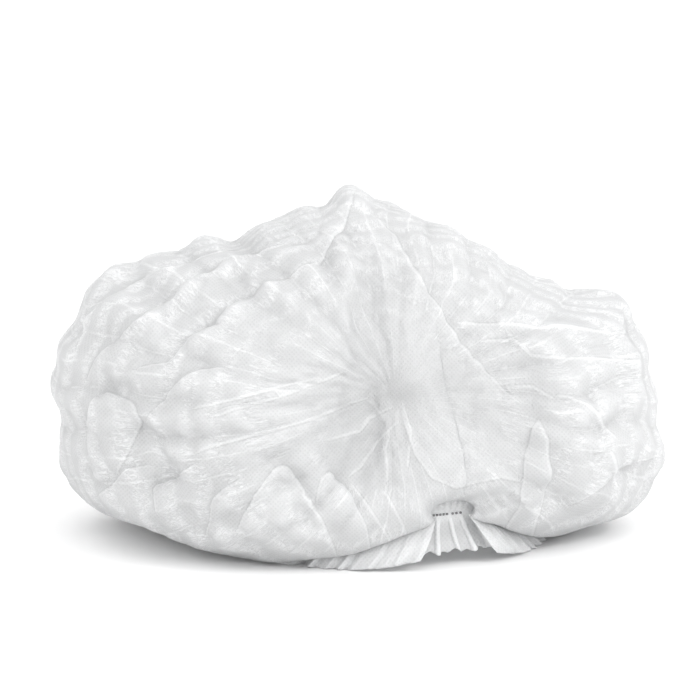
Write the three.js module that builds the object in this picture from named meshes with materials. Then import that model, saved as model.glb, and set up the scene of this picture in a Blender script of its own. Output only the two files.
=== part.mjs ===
// A disposable bouffant hair cap of thin nonwoven cloth, resting on its hem.
// One pleated strip of cloth is welded across both of its ends and drawn in by an elastic strand along
// both of its long edges, so that it opens into a puffed crown. The pleats run from the front weld over
// the crown to the rear weld. Below the elastic the edge of the cloth hangs as a frill, and beyond each
// weld the pleats end in a small fan-shaped tab.
// Millimetres, +Z up, -Y is the front. The cap stands on z = 0, with its box centred over the origin.
import * as THREE from "three";

const { clamp, lerp, degToRad, radToDeg, smoothstep } = THREE.MathUtils;

// Overall form of the crown
const CROWN_WIDTH = 240; // across the two side lobes
const CROWN_DEPTH = 204; // front to back
const CROWN_HEIGHT = 134; // resting plane to the tip
const CLOTH_WALL = 1.4;

// The strip and its welds
const STRIP_TURN = degToRad(27); // how far the line through both welds is turned to the right
const WELD_HEIGHT = 24; // weld above the resting plane
const WELD_HALF_WIDTH = 7;
const PLEAT_COUNT = 24;
const PLEAT_DEPTH = 4.6; // crest to valley
const PLEAT_LEAN = 0.62; // where a pleat's crest lies, as a share of the pleat
const PLEAT_CROWDING = 1.25; // above 1, pleats lie closer together towards the neck
const FAN_LIFT = degToRad(32); // how far above a weld the pleats fan out
const FAN_TURN = degToRad(20); // turn from a weld at which they have risen that far
const FAN_NECK_ANGLE = degToRad(40); // pleats nearer to the neck than this rise less
const SWELL_COUNT = 8; // soft swells along each pleat, weld to weld
const SWELL_DEPTH = 1.2;
const SWELL_SHIFT = 0.55; // how far the swells step along from one pleat to the next, in radians

// The neck, where the elastic draws the cloth in
const NECK_LENGTH = 164; // weld to weld
const NECK_WIDTH = 128;
const NECK_HEIGHT = 8; // neck above the resting plane, where the hem rests
const HEM_LIFT = 5; // how far the hem and the neck rise again, halfway between the welds
const HEM_REST_START = degToRad(40); // the hem lies flat between these turns from each weld
const HEM_REST_END = degToRad(52);
const NECK_RISE_POWER = 16; // how late the neck climbs towards each weld
const TUCK_ANGLE = degToRad(15); // over which the crown swells out from the neck
const LOBE_DROOP = 8; // how far each lobe sags below that
const DROOP_START_ANGLE = degToRad(2.5);
const DROOP_END_ANGLE = degToRad(28);
const WELD_TUCK_ANGLE = degToRad(16); // over which it swells out from each weld

// The frill below the neck
const FRILL_WALL = 1.2;
const FRILL_FLARE = 3; // how far its foot stands outside the neck
const FRILL_END_RISE = 8; // its foot above the resting plane, beside a tab
const FRILL_CURVE = 0.7; // below 1, it flares at once and then hangs straight
const FRILL_OVERLAP = 1.5; // how far each end of its foot reaches in front of a tab
const RUFFLE_COUNT = 21; // on each side
const RUFFLE_DEPTH = 2.4;

// The elastic strands
const ELASTIC_DIAMETER = 2;

// The pleat tabs beyond the welds
const TAB_FOOT_HEIGHT = 10.5; // above the resting plane
const TAB_HEAD_RISE = 12; // above the weld
const TAB_FOOT_HALF_WIDTH = 13.5;
const TAB_HEAD_HALF_WIDTH = 11;
const TAB_WAIST_SPARE = 3; // how far it reaches past the weld on each side
const TAB_WALL = 1.1;
const TAB_PLEATS = 5;
const TAB_FOOT_DEPTH = 1.8;
const TAB_WELD_DEPTH = 0.5;

const GAP = 0.3; // between pieces that touch

// Mesh divisions
const STEPS_PER_PLEAT = 2;
const STEPS_ALONG = 40;
const STEPS_PER_RUFFLE = 4;
const FRILL_ROWS = 3;
const ELASTIC_STEPS = 42;
const ELASTIC_SIDES = 6;

// The crown's outline from the front, from the left lobe over the tip to the right lobe.
// degrees: angle about the front-to-back line. reach: share of the plain oval of the overall sizes.
const OUTLINE = [
  { degrees: 6, reach: 0.96 },
  { degrees: 12, reach: 0.985 },
  { degrees: 20, reach: 1.05 },
  { degrees: 30, reach: 1.06 },
  { degrees: 41, reach: 1.065 },
  { degrees: 47, reach: 1.0 },
  { degrees: 57, reach: 0.95 },
  { degrees: 65, reach: 0.895 },
  { degrees: 75, reach: 0.915 },
  { degrees: 83, reach: 0.93 },
  { degrees: 89, reach: 1.0 },
  { degrees: 95, reach: 0.955 },
  { degrees: 103, reach: 0.915 },
  { degrees: 112, reach: 0.895 },
  { degrees: 122, reach: 0.885 },
  { degrees: 130, reach: 0.89 },
  { degrees: 137, reach: 0.945 },
  { degrees: 147, reach: 1.06 },
  { degrees: 156, reach: 1.05 },
  { degrees: 164, reach: 1.02 },
  { degrees: 174, reach: 1.01 },
];

// Main hollows (depth above 0) and bulges (below 0) of the crown.
// side: -1 on the front, 1 on the rear. across, up: middle, as shares of half the width and of the height
// over the weld. wide, tall: half sizes, in the same shares. lean: turns the long way, in degrees.
// depth: share of the reach there.
const DENTS = [
  { name: "front hollow", side: -1, across: 0.02, up: 0.27, wide: 0.17, tall: 0.24, lean: 12, depth: 0.2 },
  { name: "centre valley", side: -1, across: 0.09, up: 0.58, wide: 0.1, tall: 0.28, lean: 8, depth: 0.09 },
  { name: "brow bulge", side: -1, across: 0.4, up: 0.24, wide: 0.22, tall: 0.13, lean: -8, depth: -0.07 },
  { name: "under the brow", side: -1, across: 0.52, up: 0.02, wide: 0.1, tall: 0.09, lean: 0, depth: 0.08 },
  { name: "slope groove", side: -1, across: 0.38, up: 0.52, wide: 0.05, tall: 0.28, lean: 40, depth: 0.05 },
  { name: "left cheek", side: -1, across: -0.34, up: 0.34, wide: 0.2, tall: 0.2, lean: -30, depth: -0.05 },
  { name: "left fold", side: -1, across: -0.2, up: 0.1, wide: 0.06, tall: 0.16, lean: 35, depth: 0.07 },
  { name: "lobe groove", side: -1, across: -0.62, up: 0.18, wide: 0.05, tall: 0.22, lean: 30, depth: 0.05 },
  { name: "rear hollow", side: 1, across: 0.05, up: 0.3, wide: 0.16, tall: 0.22, lean: -10, depth: 0.12 },
  { name: "rear valley", side: 1, across: -0.1, up: 0.62, wide: 0.09, tall: 0.25, lean: -12, depth: 0.06 },
  { name: "rear bulge", side: 1, across: -0.42, up: 0.28, wide: 0.22, tall: 0.16, lean: 10, depth: -0.06 },
];

const HALF_WIDTH = CROWN_WIDTH / 2;
const HALF_DEPTH = CROWN_DEPTH / 2;
const RISE = CROWN_HEIGHT - WELD_HEIGHT;
const CENTRE = new THREE.Vector3(0, 0, WELD_HEIGHT);
const UP = new THREE.Vector3(0, 0, 1);
const TO_FRONT = new THREE.Vector3(Math.sin(STRIP_TURN), -Math.cos(STRIP_TURN), 0);
const TO_LEFT = new THREE.Vector3(-Math.cos(STRIP_TURN), -Math.sin(STRIP_TURN), 0);

// Turns from a weld at which the crown, a frill's foot and an elastic strand start
const FIRST_TURN = Math.asin(WELD_HALF_WIDTH / (NECK_WIDTH / 2));
const FRILL_FIRST_TURN = Math.asin((TAB_FOOT_HALF_WIDTH - FRILL_OVERLAP) / (NECK_WIDTH / 2));
const ELASTIC_FIRST_TURN = Math.asin((TAB_FOOT_HALF_WIDTH + ELASTIC_DIAMETER) / (NECK_WIDTH / 2));

// Rises quickly at first and settles at 1.
function settle(share) {
  const left = 1 - clamp(share, 0, 1);
  return 1 - left * left;
}

// The outline's reach at an angle, rounded between the table's rows.
function outlineReach(degrees) {
  const last = OUTLINE.length - 1;
  if (degrees <= OUTLINE[0].degrees) return OUTLINE[0].reach;
  if (degrees >= OUTLINE[last].degrees) return OUTLINE[last].reach;
  const row = OUTLINE.findIndex((entry) => entry.degrees > degrees);
  const from = OUTLINE[row - 1];
  const to = OUTLINE[row];
  return lerp(from.reach, to.reach, smoothstep(degrees, from.degrees, to.degrees));
}

// How much the hollows and bulges take off the reach in a direction given in shares of the overall sizes.
function dentShare(across, along, up) {
  let taken = 0;
  for (const dent of DENTS) {
    if (along * dent.side <= 0) continue;
    const lean = degToRad(dent.lean);
    const x = across - dent.across;
    const z = up - dent.up;
    const wide = (x * Math.cos(lean) + z * Math.sin(lean)) / dent.wide;
    const tall = (z * Math.cos(lean) - x * Math.sin(lean)) / dent.tall;
    taken += dent.depth * Math.exp(-wide * wide - tall * tall);
  }
  return taken;
}

// Distance of the plain oval of the overall sizes from the crown's centre.
function ovalReach(direction) {
  const { x, y, z } = direction;
  return 1 / Math.hypot(x / HALF_WIDTH, y / HALF_DEPTH, z / RISE);
}

// The crown's share of that oval in a direction.
function crownShare(direction) {
  const reach = ovalReach(direction);
  const across = (direction.x * reach) / HALF_WIDTH;
  const along = (direction.y * reach) / HALF_DEPTH;
  const up = (direction.z * reach) / RISE;
  const angle = radToDeg(Math.atan2(up, -across));
  const side = outlineReach(angle < -90 ? angle + 360 : angle); // the right lobe's underside is past 180
  return lerp(1, side, 1 - along * along) - dentShare(across, along, up);
}

// How far the hem is lifted off the resting plane. A turn runs from 0 at the front weld to PI at the rear.
function hemLift(turn) {
  return HEM_LIFT * smoothstep(Math.min(turn, Math.PI - turn), HEM_REST_END, Math.PI / 2);
}

// Height of the frill's foot above the resting plane.
function footHeight(turn) {
  const fromWeld = Math.min(turn, Math.PI - turn);
  const fromEnd = (fromWeld - FRILL_FIRST_TURN) / (HEM_REST_START - FRILL_FIRST_TURN);
  return FRILL_END_RISE * (1 - settle(fromEnd)) + hemLift(turn);
}

// Height of the neck above the resting plane.
function neckHeight(turn) {
  const rise = Math.pow(Math.abs(Math.cos(turn)), NECK_RISE_POWER);
  return lerp(NECK_HEIGHT + hemLift(turn), WELD_HEIGHT, rise);
}

// A point of the neck. side is 1 on the left and -1 on the right; grown moves it outwards.
function neckPoint(turn, side, grown = 0) {
  return new THREE.Vector3()
    .addScaledVector(TO_FRONT, Math.cos(turn) * (NECK_LENGTH / 2 + grown))
    .addScaledVector(TO_LEFT, side * Math.sin(turn) * (NECK_WIDTH / 2 + grown))
    .setZ(neckHeight(turn));
}

// Height of a pleat, from -1 in its valley to 0 on its crest, with the crest leaning to one side.
function pleatWave(across) {
  const place = across * PLEAT_COUNT - Math.floor(across * PLEAT_COUNT);
  return place < PLEAT_LEAN ? place / PLEAT_LEAN - 1 : (1 - place) / (1 - PLEAT_LEAN) - 1;
}

// Where a share of the way across the strip lies between its edges, with the pleats crowded at each edge.
function crowded(across) {
  const fromEdge = 0.5 * Math.pow(2 * Math.min(across, 1 - across), PLEAT_CROWDING);
  return across < 0.5 ? fromEdge : 1 - fromEdge;
}

// How far the pleats are raised at a turn from a weld, for an angle from the neck.
function fanLift(turn, fromNeck) {
  const fromWeld = Math.min(turn, Math.PI - turn);
  const sunk = smoothstep(fromWeld, FAN_TURN, Math.PI / 2);
  const risen = smoothstep(fromWeld, FIRST_TURN, FAN_TURN) * (1 - sunk);
  return FAN_LIFT * risen * settle(fromNeck / FAN_NECK_ANGLE);
}

// Where grid line number line lies across the strip: each pleat's valley, then its crest.
function acrossOf(line) {
  const pleat = Math.floor(line / STEPS_PER_PLEAT);
  const crest = line % STEPS_PER_PLEAT ? PLEAT_LEAN : 0;
  return (pleat + crest) / PLEAT_COUNT;
}

// A point of the crown's outer face. across runs from the left neck over the top to the right neck,
// and turn from the front weld to the rear weld.
function crownPoint(across, turn) {
  const side = across < 0.5 ? 1 : -1;
  const neck = neckPoint(turn, side).sub(CENTRE);
  const neckDirection = neck.clone().normalize();
  const drop = Math.atan2(-neck.z, Math.abs(neck.dot(TO_LEFT)));
  const angle = lerp(-drop, Math.PI + drop, crowded(across));
  const fromNeck = side > 0 ? angle + drop : Math.PI + drop - angle;
  const tuck = settle(fromNeck / TUCK_ANGLE);
  const neckTurn = Math.acos(neckDirection.dot(TO_FRONT));
  const swing = lerp(neckTurn, turn, tuck);
  const direction = new THREE.Vector3()
    .addScaledVector(TO_FRONT, Math.cos(swing))
    .addScaledVector(TO_LEFT, Math.sin(swing) * Math.cos(angle))
    .addScaledVector(UP, Math.sin(swing) * Math.sin(angle))
    .applyAxisAngle(TO_LEFT, fanLift(turn, fromNeck) * (turn < Math.PI / 2 ? 1 : -1));
  const fromWeld = Math.min(turn, Math.PI - turn) - FIRST_TURN;
  const swollen = tuck * settle(fromWeld / WELD_TUCK_ANGLE);
  const neckShare = neck.length() / ovalReach(neckDirection);
  const base = ovalReach(direction) * lerp(neckShare, crownShare(direction), swollen);
  const pleat = Math.floor(across * PLEAT_COUNT);
  const swell = Math.sin(SWELL_COUNT * 2 * turn + SWELL_SHIFT * pleat) * SWELL_DEPTH;
  const relief = (PLEAT_DEPTH * pleatWave(across) + swell) * swollen * Math.sin(turn);
  const point = direction.multiplyScalar(base + relief).add(CENTRE);
  const hang = settle(fromNeck / DROOP_START_ANGLE) * (1 - settle(fromNeck / DROOP_END_ANGLE));
  point.z -= LOBE_DROOP * hang * Math.pow(Math.sin(turn), 2);
  return point;
}

// A closed wall from a grid of outer points and the matching grid of inner points.
function wallGeometry(outer, inner) {
  const rows = outer.length;
  const columns = outer[0].length;
  const last = columns - 1;
  const positions = [];
  const place = (grid) => grid.forEach((row) => row.forEach((point) => positions.push(...point.toArray())));
  place(outer);
  place(inner);
  const faces = [];
  const out = (row, column) => row * columns + column;
  const back = (row, column) => rows * columns + out(row, column);
  const quad = (a, b, c, d) => faces.push(a, b, c, a, c, d);
  for (let row = 0; row + 1 < rows; row++) {
    for (let column = 0; column + 1 < columns; column++) {
      quad(out(row, column), out(row, column + 1), out(row + 1, column + 1), out(row + 1, column));
      quad(back(row, column), back(row + 1, column), back(row + 1, column + 1), back(row, column + 1));
    }
    quad(out(row, 0), out(row + 1, 0), back(row + 1, 0), back(row, 0));
    quad(out(row + 1, last), out(row, last), back(row, last), back(row + 1, last));
  }
  for (let column = 0; column + 1 < columns; column++) {
    quad(out(0, column + 1), out(0, column), back(0, column), back(0, column + 1));
    quad(
      out(rows - 1, column),
      out(rows - 1, column + 1),
      back(rows - 1, column + 1),
      back(rows - 1, column),
    );
  }
  const geometry = new THREE.BufferGeometry();
  geometry.setAttribute("position", new THREE.Float32BufferAttribute(positions, 3));
  geometry.setIndex(faces);
  return geometry;
}

// The normals of a grid of points, each looking to the outer side of wallGeometry.
function gridNormals(grid) {
  const row = (index) => grid[clamp(index, 0, grid.length - 1)];
  return grid.map((points, r) =>
    points.map((point, c) => {
      const before = points[Math.max(c - 1, 0)];
      const after = points[Math.min(c + 1, points.length - 1)];
      const along = after.clone().sub(before);
      const onward = row(r + 1)[c].clone().sub(row(r - 1)[c]);
      return along.cross(onward).normalize();
    }),
  );
}

// A grid of points moved along its normals.
function movedGrid(grid, distance) {
  const normals = gridNormals(grid);
  return grid.map((points, r) =>
    points.map((point, c) => point.clone().addScaledVector(normals[r][c], distance)),
  );
}

function crownGeometry() {
  const lines = PLEAT_COUNT * STEPS_PER_PLEAT;
  const outer = [];
  for (let step = 0; step <= STEPS_ALONG; step++) {
    const turn = lerp(FIRST_TURN, Math.PI - FIRST_TURN, step / STEPS_ALONG);
    const row = [];
    for (let line = 0; line <= lines; line++) row.push(crownPoint(acrossOf(line), turn));
    outer.push(row);
  }
  return wallGeometry(outer, movedGrid(outer, -CLOTH_WALL));
}

// The frill on one side: a ruffled wall from just under the neck down to the resting plane.
function frillGeometry(side) {
  const steps = RUFFLE_COUNT * STEPS_PER_RUFFLE;
  const middle = [];
  for (let row = 0; row < FRILL_ROWS; row++) {
    const down = row / (FRILL_ROWS - 1);
    const firstTurn = lerp(FIRST_TURN, FRILL_FIRST_TURN, down);
    const points = [];
    for (let step = 0; step <= steps; step++) {
      const turn = lerp(firstTurn, Math.PI - firstTurn, step / steps);
      const calm = settle(Math.min(step, steps - step) / STEPS_PER_RUFFLE);
      const ruffle = Math.sin((2 * Math.PI * step) / STEPS_PER_RUFFLE) * RUFFLE_DEPTH * calm;
      const flare = (FRILL_FLARE + ruffle) * Math.pow(down, FRILL_CURVE);
      const point = neckPoint(turn, side, flare - FRILL_WALL / 2);
      point.z = lerp(neckHeight(turn) - GAP, footHeight(turn), down);
      points.push(point);
    }
    middle.push(side > 0 ? points : points.reverse());
  }
  return wallGeometry(levelledGrid(middle, -FRILL_WALL / 2), levelledGrid(middle, FRILL_WALL / 2));
}

// A standing grid moved sideways only, so that each row keeps its heights.
function levelledGrid(grid, distance) {
  return grid.map((points) =>
    points.map((point, c) => {
      const before = points[Math.max(c - 1, 0)];
      const after = points[Math.min(c + 1, points.length - 1)];
      const sideways = after.clone().sub(before).setZ(0).normalize().cross(UP);
      return point.clone().addScaledVector(sideways, distance);
    }),
  );
}

// The elastic strand on one side, just inside the top of the frill.
function elasticGeometry(side) {
  const radius = ELASTIC_DIAMETER / 2;
  const inset = FRILL_WALL + GAP + radius;
  const points = [];
  for (let step = 0; step <= ELASTIC_STEPS; step++) {
    const turn = lerp(ELASTIC_FIRST_TURN, Math.PI - ELASTIC_FIRST_TURN, step / ELASTIC_STEPS);
    const point = neckPoint(turn, side, -inset);
    point.z -= GAP + ELASTIC_DIAMETER;
    points.push(point);
  }
  const section = new THREE.Shape();
  for (let corner = 0; corner < ELASTIC_SIDES; corner++) {
    const angle = (2 * Math.PI * corner) / ELASTIC_SIDES;
    const at = [radius * Math.cos(angle), radius * Math.sin(angle)];
    if (corner) section.lineTo(...at);
    else section.moveTo(...at);
  }
  return new THREE.ExtrudeGeometry(section, {
    steps: ELASTIC_STEPS,
    extrudePath: new THREE.CatmullRomCurve3(points),
  });
}

// The fan of pleat ends at a weld. end is 1 at the front and -1 at the rear.
function tabGeometry(end) {
  const rows = [
    { height: WELD_HEIGHT + TAB_HEAD_RISE, halfWidth: TAB_HEAD_HALF_WIDTH, depth: TAB_WELD_DEPTH },
    { height: WELD_HEIGHT, halfWidth: WELD_HALF_WIDTH + TAB_WAIST_SPARE, depth: TAB_WELD_DEPTH },
    { height: TAB_FOOT_HEIGHT, halfWidth: TAB_FOOT_HALF_WIDTH, depth: TAB_FOOT_DEPTH },
  ];
  const behindFrill = Math.cos(FRILL_FIRST_TURN) * (NECK_LENGTH / 2 - FRILL_WALL);
  const face = behindFrill - GAP - TAB_WALL / 2 - TAB_WELD_DEPTH;
  const folds = TAB_PLEATS * 2;
  const middle = rows.map((row) => {
    const points = [];
    for (let fold = 0; fold <= folds; fold++) {
      const across = lerp(-row.halfWidth, row.halfWidth, fold / folds);
      const inward = face - (fold % 2 ? row.depth : -row.depth) - (row.depth - TAB_WELD_DEPTH);
      points.push(
        new THREE.Vector3()
          .addScaledVector(TO_FRONT, end * inward)
          .addScaledVector(TO_LEFT, -end * across)
          .setZ(row.height),
      );
    }
    return points;
  });
  return wallGeometry(levelledGrid(middle, -TAB_WALL / 2), levelledGrid(middle, TAB_WALL / 2));
}

function cloth(color) {
  return new THREE.MeshStandardMaterial({ color, roughness: 0.8, metalness: 0, side: THREE.DoubleSide });
}

function piece(name, geometry, material) {
  const mesh = new THREE.Mesh(geometry, material);
  mesh.name = name;
  return mesh;
}

const crownCloth = cloth(0xf2f3f4);
const edgeCloth = cloth(0xeceeef);
const elasticCover = new THREE.MeshStandardMaterial({ color: 0xf6f6f4, roughness: 0.6, metalness: 0 });

const cap = new THREE.Group();
cap.add(
  piece("crown", crownGeometry(), crownCloth),
  piece("frill_left", frillGeometry(1), edgeCloth),
  piece("frill_right", frillGeometry(-1), edgeCloth),
  piece("elastic_left", elasticGeometry(1), elasticCover),
  piece("elastic_right", elasticGeometry(-1), elasticCover),
  piece("pleat_tab_front", tabGeometry(1), edgeCloth),
  piece("pleat_tab_rear", tabGeometry(-1), edgeCloth),
);

// The box is centred over the origin.
const box = new THREE.Box3().setFromObject(cap);
const middleOfBox = box.getCenter(new THREE.Vector3());
cap.position.set(-middleOfBox.x, -middleOfBox.y, 0);

export default cap;
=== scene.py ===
"""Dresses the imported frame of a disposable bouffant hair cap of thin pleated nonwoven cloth."""

import math

import bmesh
import bpy
import numpy as np
from bpy.props import FloatProperty, FloatVectorProperty, IntProperty, PointerProperty
from mathutils import Matrix, Vector


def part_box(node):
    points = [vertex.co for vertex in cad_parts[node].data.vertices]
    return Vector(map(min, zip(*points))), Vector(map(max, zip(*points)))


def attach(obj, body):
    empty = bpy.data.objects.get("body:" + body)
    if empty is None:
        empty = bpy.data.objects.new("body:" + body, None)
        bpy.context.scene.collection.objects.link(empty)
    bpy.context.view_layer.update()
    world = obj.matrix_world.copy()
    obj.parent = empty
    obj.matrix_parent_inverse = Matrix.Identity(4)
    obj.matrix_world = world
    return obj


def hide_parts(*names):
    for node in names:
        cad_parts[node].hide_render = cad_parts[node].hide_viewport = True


bl_info = {
    "name": "Bouffant Hair Cap",
    "version": (1, 0, 0),
    "blender": (4, 5, 0),
    "location": "View3D > Sidebar > Hair Cap",
    "description": "Pleated nonwoven hair cap with its frill, elastic and weld tabs",
    "category": "Object",
}

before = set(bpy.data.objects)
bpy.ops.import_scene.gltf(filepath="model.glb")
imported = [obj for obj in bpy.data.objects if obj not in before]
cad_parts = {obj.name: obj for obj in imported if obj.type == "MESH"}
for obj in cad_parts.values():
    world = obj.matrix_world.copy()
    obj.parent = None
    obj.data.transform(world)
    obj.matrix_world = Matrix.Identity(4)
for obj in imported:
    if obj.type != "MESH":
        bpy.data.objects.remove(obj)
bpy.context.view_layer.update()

MM = 0.001

# The photograph's view, for folds that are placed as it shows them
PHOTO_WIDTH = 700
PHOTO_SCALE = 0.3915 * MM  # metres to a pixel, at the middle of the cap
PHOTO_MIDDLE = (350.0, 350.0)
VIEW_ELEVATION = math.radians(8)
VIEW_DISTANCE = 1.1
VIEW_TARGET = Vector((-2.3 * MM, 0.0, 70 * MM))

# The crown's outline from the front, from the left lobe over the tip to the right lobe.
# Columns: degrees about the front-to-back line, and the share of the plain oval of the overall sizes.
OUTLINE = (
    (6, 0.945),
    (12, 0.967),
    (20, 1.03),
    (30, 1.05),
    (41, 1.065),
    (47, 1.0),
    (57, 0.95),
    (65, 0.895),
    (75, 0.915),
    (83, 0.93),
    (89, 1.0),
    (95, 0.955),
    (103, 0.915),
    (112, 0.895),
    (122, 0.885),
    (130, 0.89),
    (137, 0.945),
    (147, 1.06),
    (156, 1.05),
    (164, 1.02),
    (174, 1.01),
)

# Main hollows (depth above 0) and bulges (below 0) of the crown, in shares of its overall sizes.
# Columns: name, side (-1 front, 1 rear), across, up, wide, tall, lean in degrees, depth.
DENTS = (
    ("front hollow", -1, 0.02, 0.27, 0.17, 0.24, 12, 0.2),
    ("centre valley", -1, 0.09, 0.58, 0.1, 0.28, 8, 0.09),
    ("brow bulge", -1, 0.4, 0.24, 0.22, 0.13, -8, -0.07),
    ("under the brow", -1, 0.52, 0.02, 0.1, 0.09, 0, 0.08),
    ("right slope groove", -1, 0.38, 0.52, 0.05, 0.28, 40, 0.05),
    ("left cheek", -1, -0.34, 0.34, 0.2, 0.2, -30, -0.05),
    ("left fold", -1, -0.2, 0.1, 0.06, 0.16, 35, 0.07),
    ("left lobe groove", -1, -0.62, 0.18, 0.05, 0.22, 30, 0.05),
    ("rear hollow", 1, 0.05, 0.3, 0.16, 0.22, -10, 0.12),
    ("rear valley", 1, -0.1, 0.62, 0.09, 0.25, -12, 0.06),
    ("rear bulge", 1, -0.42, 0.28, 0.22, 0.16, 10, -0.06),
)


def length(name, description, default):
    return FloatProperty(name=name, description=description, default=default, unit="LENGTH")


def tint(name, description, default):
    return FloatVectorProperty(
        name=name, description=description, default=default, subtype="COLOR", min=0, max=1,
    )


class CapSizes(bpy.types.PropertyGroup):
    """Sizes that the crown, the frill and the tabs share"""

    width: length("Width", "Across both lobes", 0.240)
    depth: length("Depth", "Front to back", 0.204)
    height: length("Height", "Floor to tip", 0.134)
    turn: FloatProperty(
        name="Turn", description="How far the line through both welds is turned",
        default=math.radians(27), subtype="ANGLE",
    )
    weld_height: length("Weld height", "Weld above the floor", 0.024)
    weld_drop: length("Weld drop", "How far the cloth hangs below the weld there", 0.0045)
    weld_half: length("Weld half width", "Half the weld row", 0.007)
    neck_length: length("Neck length", "Weld to weld", 0.164)
    neck_width: length("Neck width", "Across the neck", 0.128)
    neck_height: length("Neck height", "Neck above the floor, where the hem rests", 0.008)
    hem_lift: length("Hem lift", "How far the hem rises at the sides", 0.005)
    strip_width: length(
        "Strip width", "Declared for the modelled outer layer; the cut strip is about 0.5 m wide", 0.27,
    )
    strip_length: length("Strip length", "Length of the cloth strip, weld to weld", 0.53)


class CrownSizes(bpy.types.PropertyGroup):
    """Folds and mesh of the crown"""

    steps_across: IntProperty(
        name="Steps across", description="Mesh steps across the strip", default=252,
    )
    steps_along: IntProperty(name="Steps along", description="Mesh steps weld to weld", default=192)
    pleats: IntProperty(
        name="Pleats", description="Pleat panels once round the line through both poles",
        default=52,
    )
    pleat_depth: length("Pleat depth", "Pleat crest to valley", 0.0014)
    pucker_depth: length("Pucker depth", "Height of the puckers across the pleats", 0.0008)
    pucker_pitch: length("Pucker pitch", "Distance from pucker to pucker", 0.0150)
    streak_depth: length("Streak depth", "Height of the long creases along the pleats", 0.0006)
    crumple_depth: length("Crumple depth", "Height of the small crumples", 0.0002)
    spare_cloth: FloatProperty(
        name="Spare cloth", description="How much larger the loose cloth is than its place",
        default=0.06,
    )
    cloth_bending: FloatProperty(
        name="Bending", description="Bending stiffness in the simulation", default=0.02,
    )
    cloth_frames: IntProperty(name="Frames", description="Length of the simulation", default=24)
    held_share: FloatProperty(
        name="Held", description="How firmly the loose cloth keeps its place", default=0.05,
    )
    thickness: length("Thickness", "Cloth thickness as modelled", 0.0003)


class EdgeSizes(bpy.types.PropertyGroup):
    """Sizes of the frills, the elastic and the tabs"""

    frill_steps: IntProperty(name="Frill steps", description="Mesh steps along a frill", default=420)
    frill_rows: IntProperty(name="Frill rows", description="Mesh rows down a frill", default=12)
    frill_thickness: length("Edge thickness", "Cloth thickness of the edge", 0.0003)
    frill_wall: length("Frill wall", "Wall that the frame's frill has", 0.0012)
    frill_flare: length("Frill flare", "How far the foot stands out", 0.0055)
    frill_end_flare: length("End flare", "How much farther it stands out beside the welds", 0.0025)
    frill_curve: FloatProperty(name="Frill curve", description="How soon it stands out", default=0.7)
    ruffles: FloatProperty(name="Ruffles", description="Ruffles along a frill", default=29)
    ruffle_depth: length("Ruffle depth", "Middle to crest", 0.0032)
    ruffle_lean: FloatProperty(
        name="Ruffle lean", description="How far crests lean along the edge", default=0.012,
        subtype="ANGLE",
    )
    ruffle_rise: length("Ruffle rise", "How far the foot rises at a crest", 0.0012)
    cord_radius: length("Cord radius", "Half the elastic's thickness", 0.0009)
    cord_steps: IntProperty(name="Cord steps", description="Mesh steps along a cord", default=360)
    cord_sides: IntProperty(name="Cord sides", description="Mesh steps round a cord", default=12)
    tab_foot_half: length("Tab foot half", "Half the tab's foot", 0.0172)
    tab_waist_half: length("Tab waist half", "Half the tab at the weld", 0.0135)
    tab_head_half: length("Tab head half", "Half the tab's head", 0.0145)
    tab_foot: length("Tab foot", "Foot above the floor", 0.0052)
    tab_rise: length("Tab rise", "Head above the weld", 0.011)
    tab_depth: length("Tab depth", "Ridge to panel", 0.0016)
    tab_columns: IntProperty(name="Tab columns", description="Mesh steps across a tab", default=132)
    tab_rows: IntProperty(name="Tab rows", description="Mesh steps up a tab", default=60)
    weld_row: length("Weld row", "Weld points above the floor", 0.0185)
    weld_half: length("Weld row half", "Half the row of weld points", 0.0062)
    weld_wide: length("Weld width", "One point", 0.0011)
    weld_tall: length("Weld height", "One point", 0.0009)
    weld_thick: length("Weld thickness", "One point", 0.0006)


class CapLooks(bpy.types.PropertyGroup):
    """Colours and light"""

    cloth: tint("Cloth", "Colour of the nonwoven cloth", (0.775, 0.779, 0.783))
    elastic: tint("Elastic", "Colour of the covered elastic", (0.82, 0.82, 0.81))
    floor: tint("Floor", "Colour of the floor", (0.97, 0.97, 0.97))


# Smooth steps and noise on arrays

def settle(share):
    """Rises quickly at first and settles at 1."""
    left = 1 - np.clip(share, 0, 1)
    return 1 - left * left


def smooth(value, low, high):
    """A smooth step from 0 at low to 1 at high."""
    share = np.clip((value - low) / (high - low), 0, 1)
    return share * share * (3 - 2 * share)


def hills(points, size, seed, waves=14):
    """Soft random hills of about the given size over points, mostly between -1 and 1."""
    draw = np.random.default_rng(seed)
    total = np.zeros(points.shape[:-1])
    for _ in range(waves):
        heading = draw.normal(size=points.shape[-1])
        heading *= 2 * math.pi / (size * draw.uniform(0.75, 1.5)) / np.linalg.norm(heading)
        total += np.sin(points @ heading + draw.uniform(0, 2 * math.pi))
    return total / math.sqrt(waves) * 0.9


def creased(points, size, seed):
    """Random facets that meet in sharp creases, from -1 to about 0.5."""
    first = np.abs(hills(points, size, seed))
    second = np.abs(hills(points, size, seed + 1))
    return 0.5 - np.minimum(first, second) * 1.2


# The cap's form, as arrays over the strip

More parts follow.
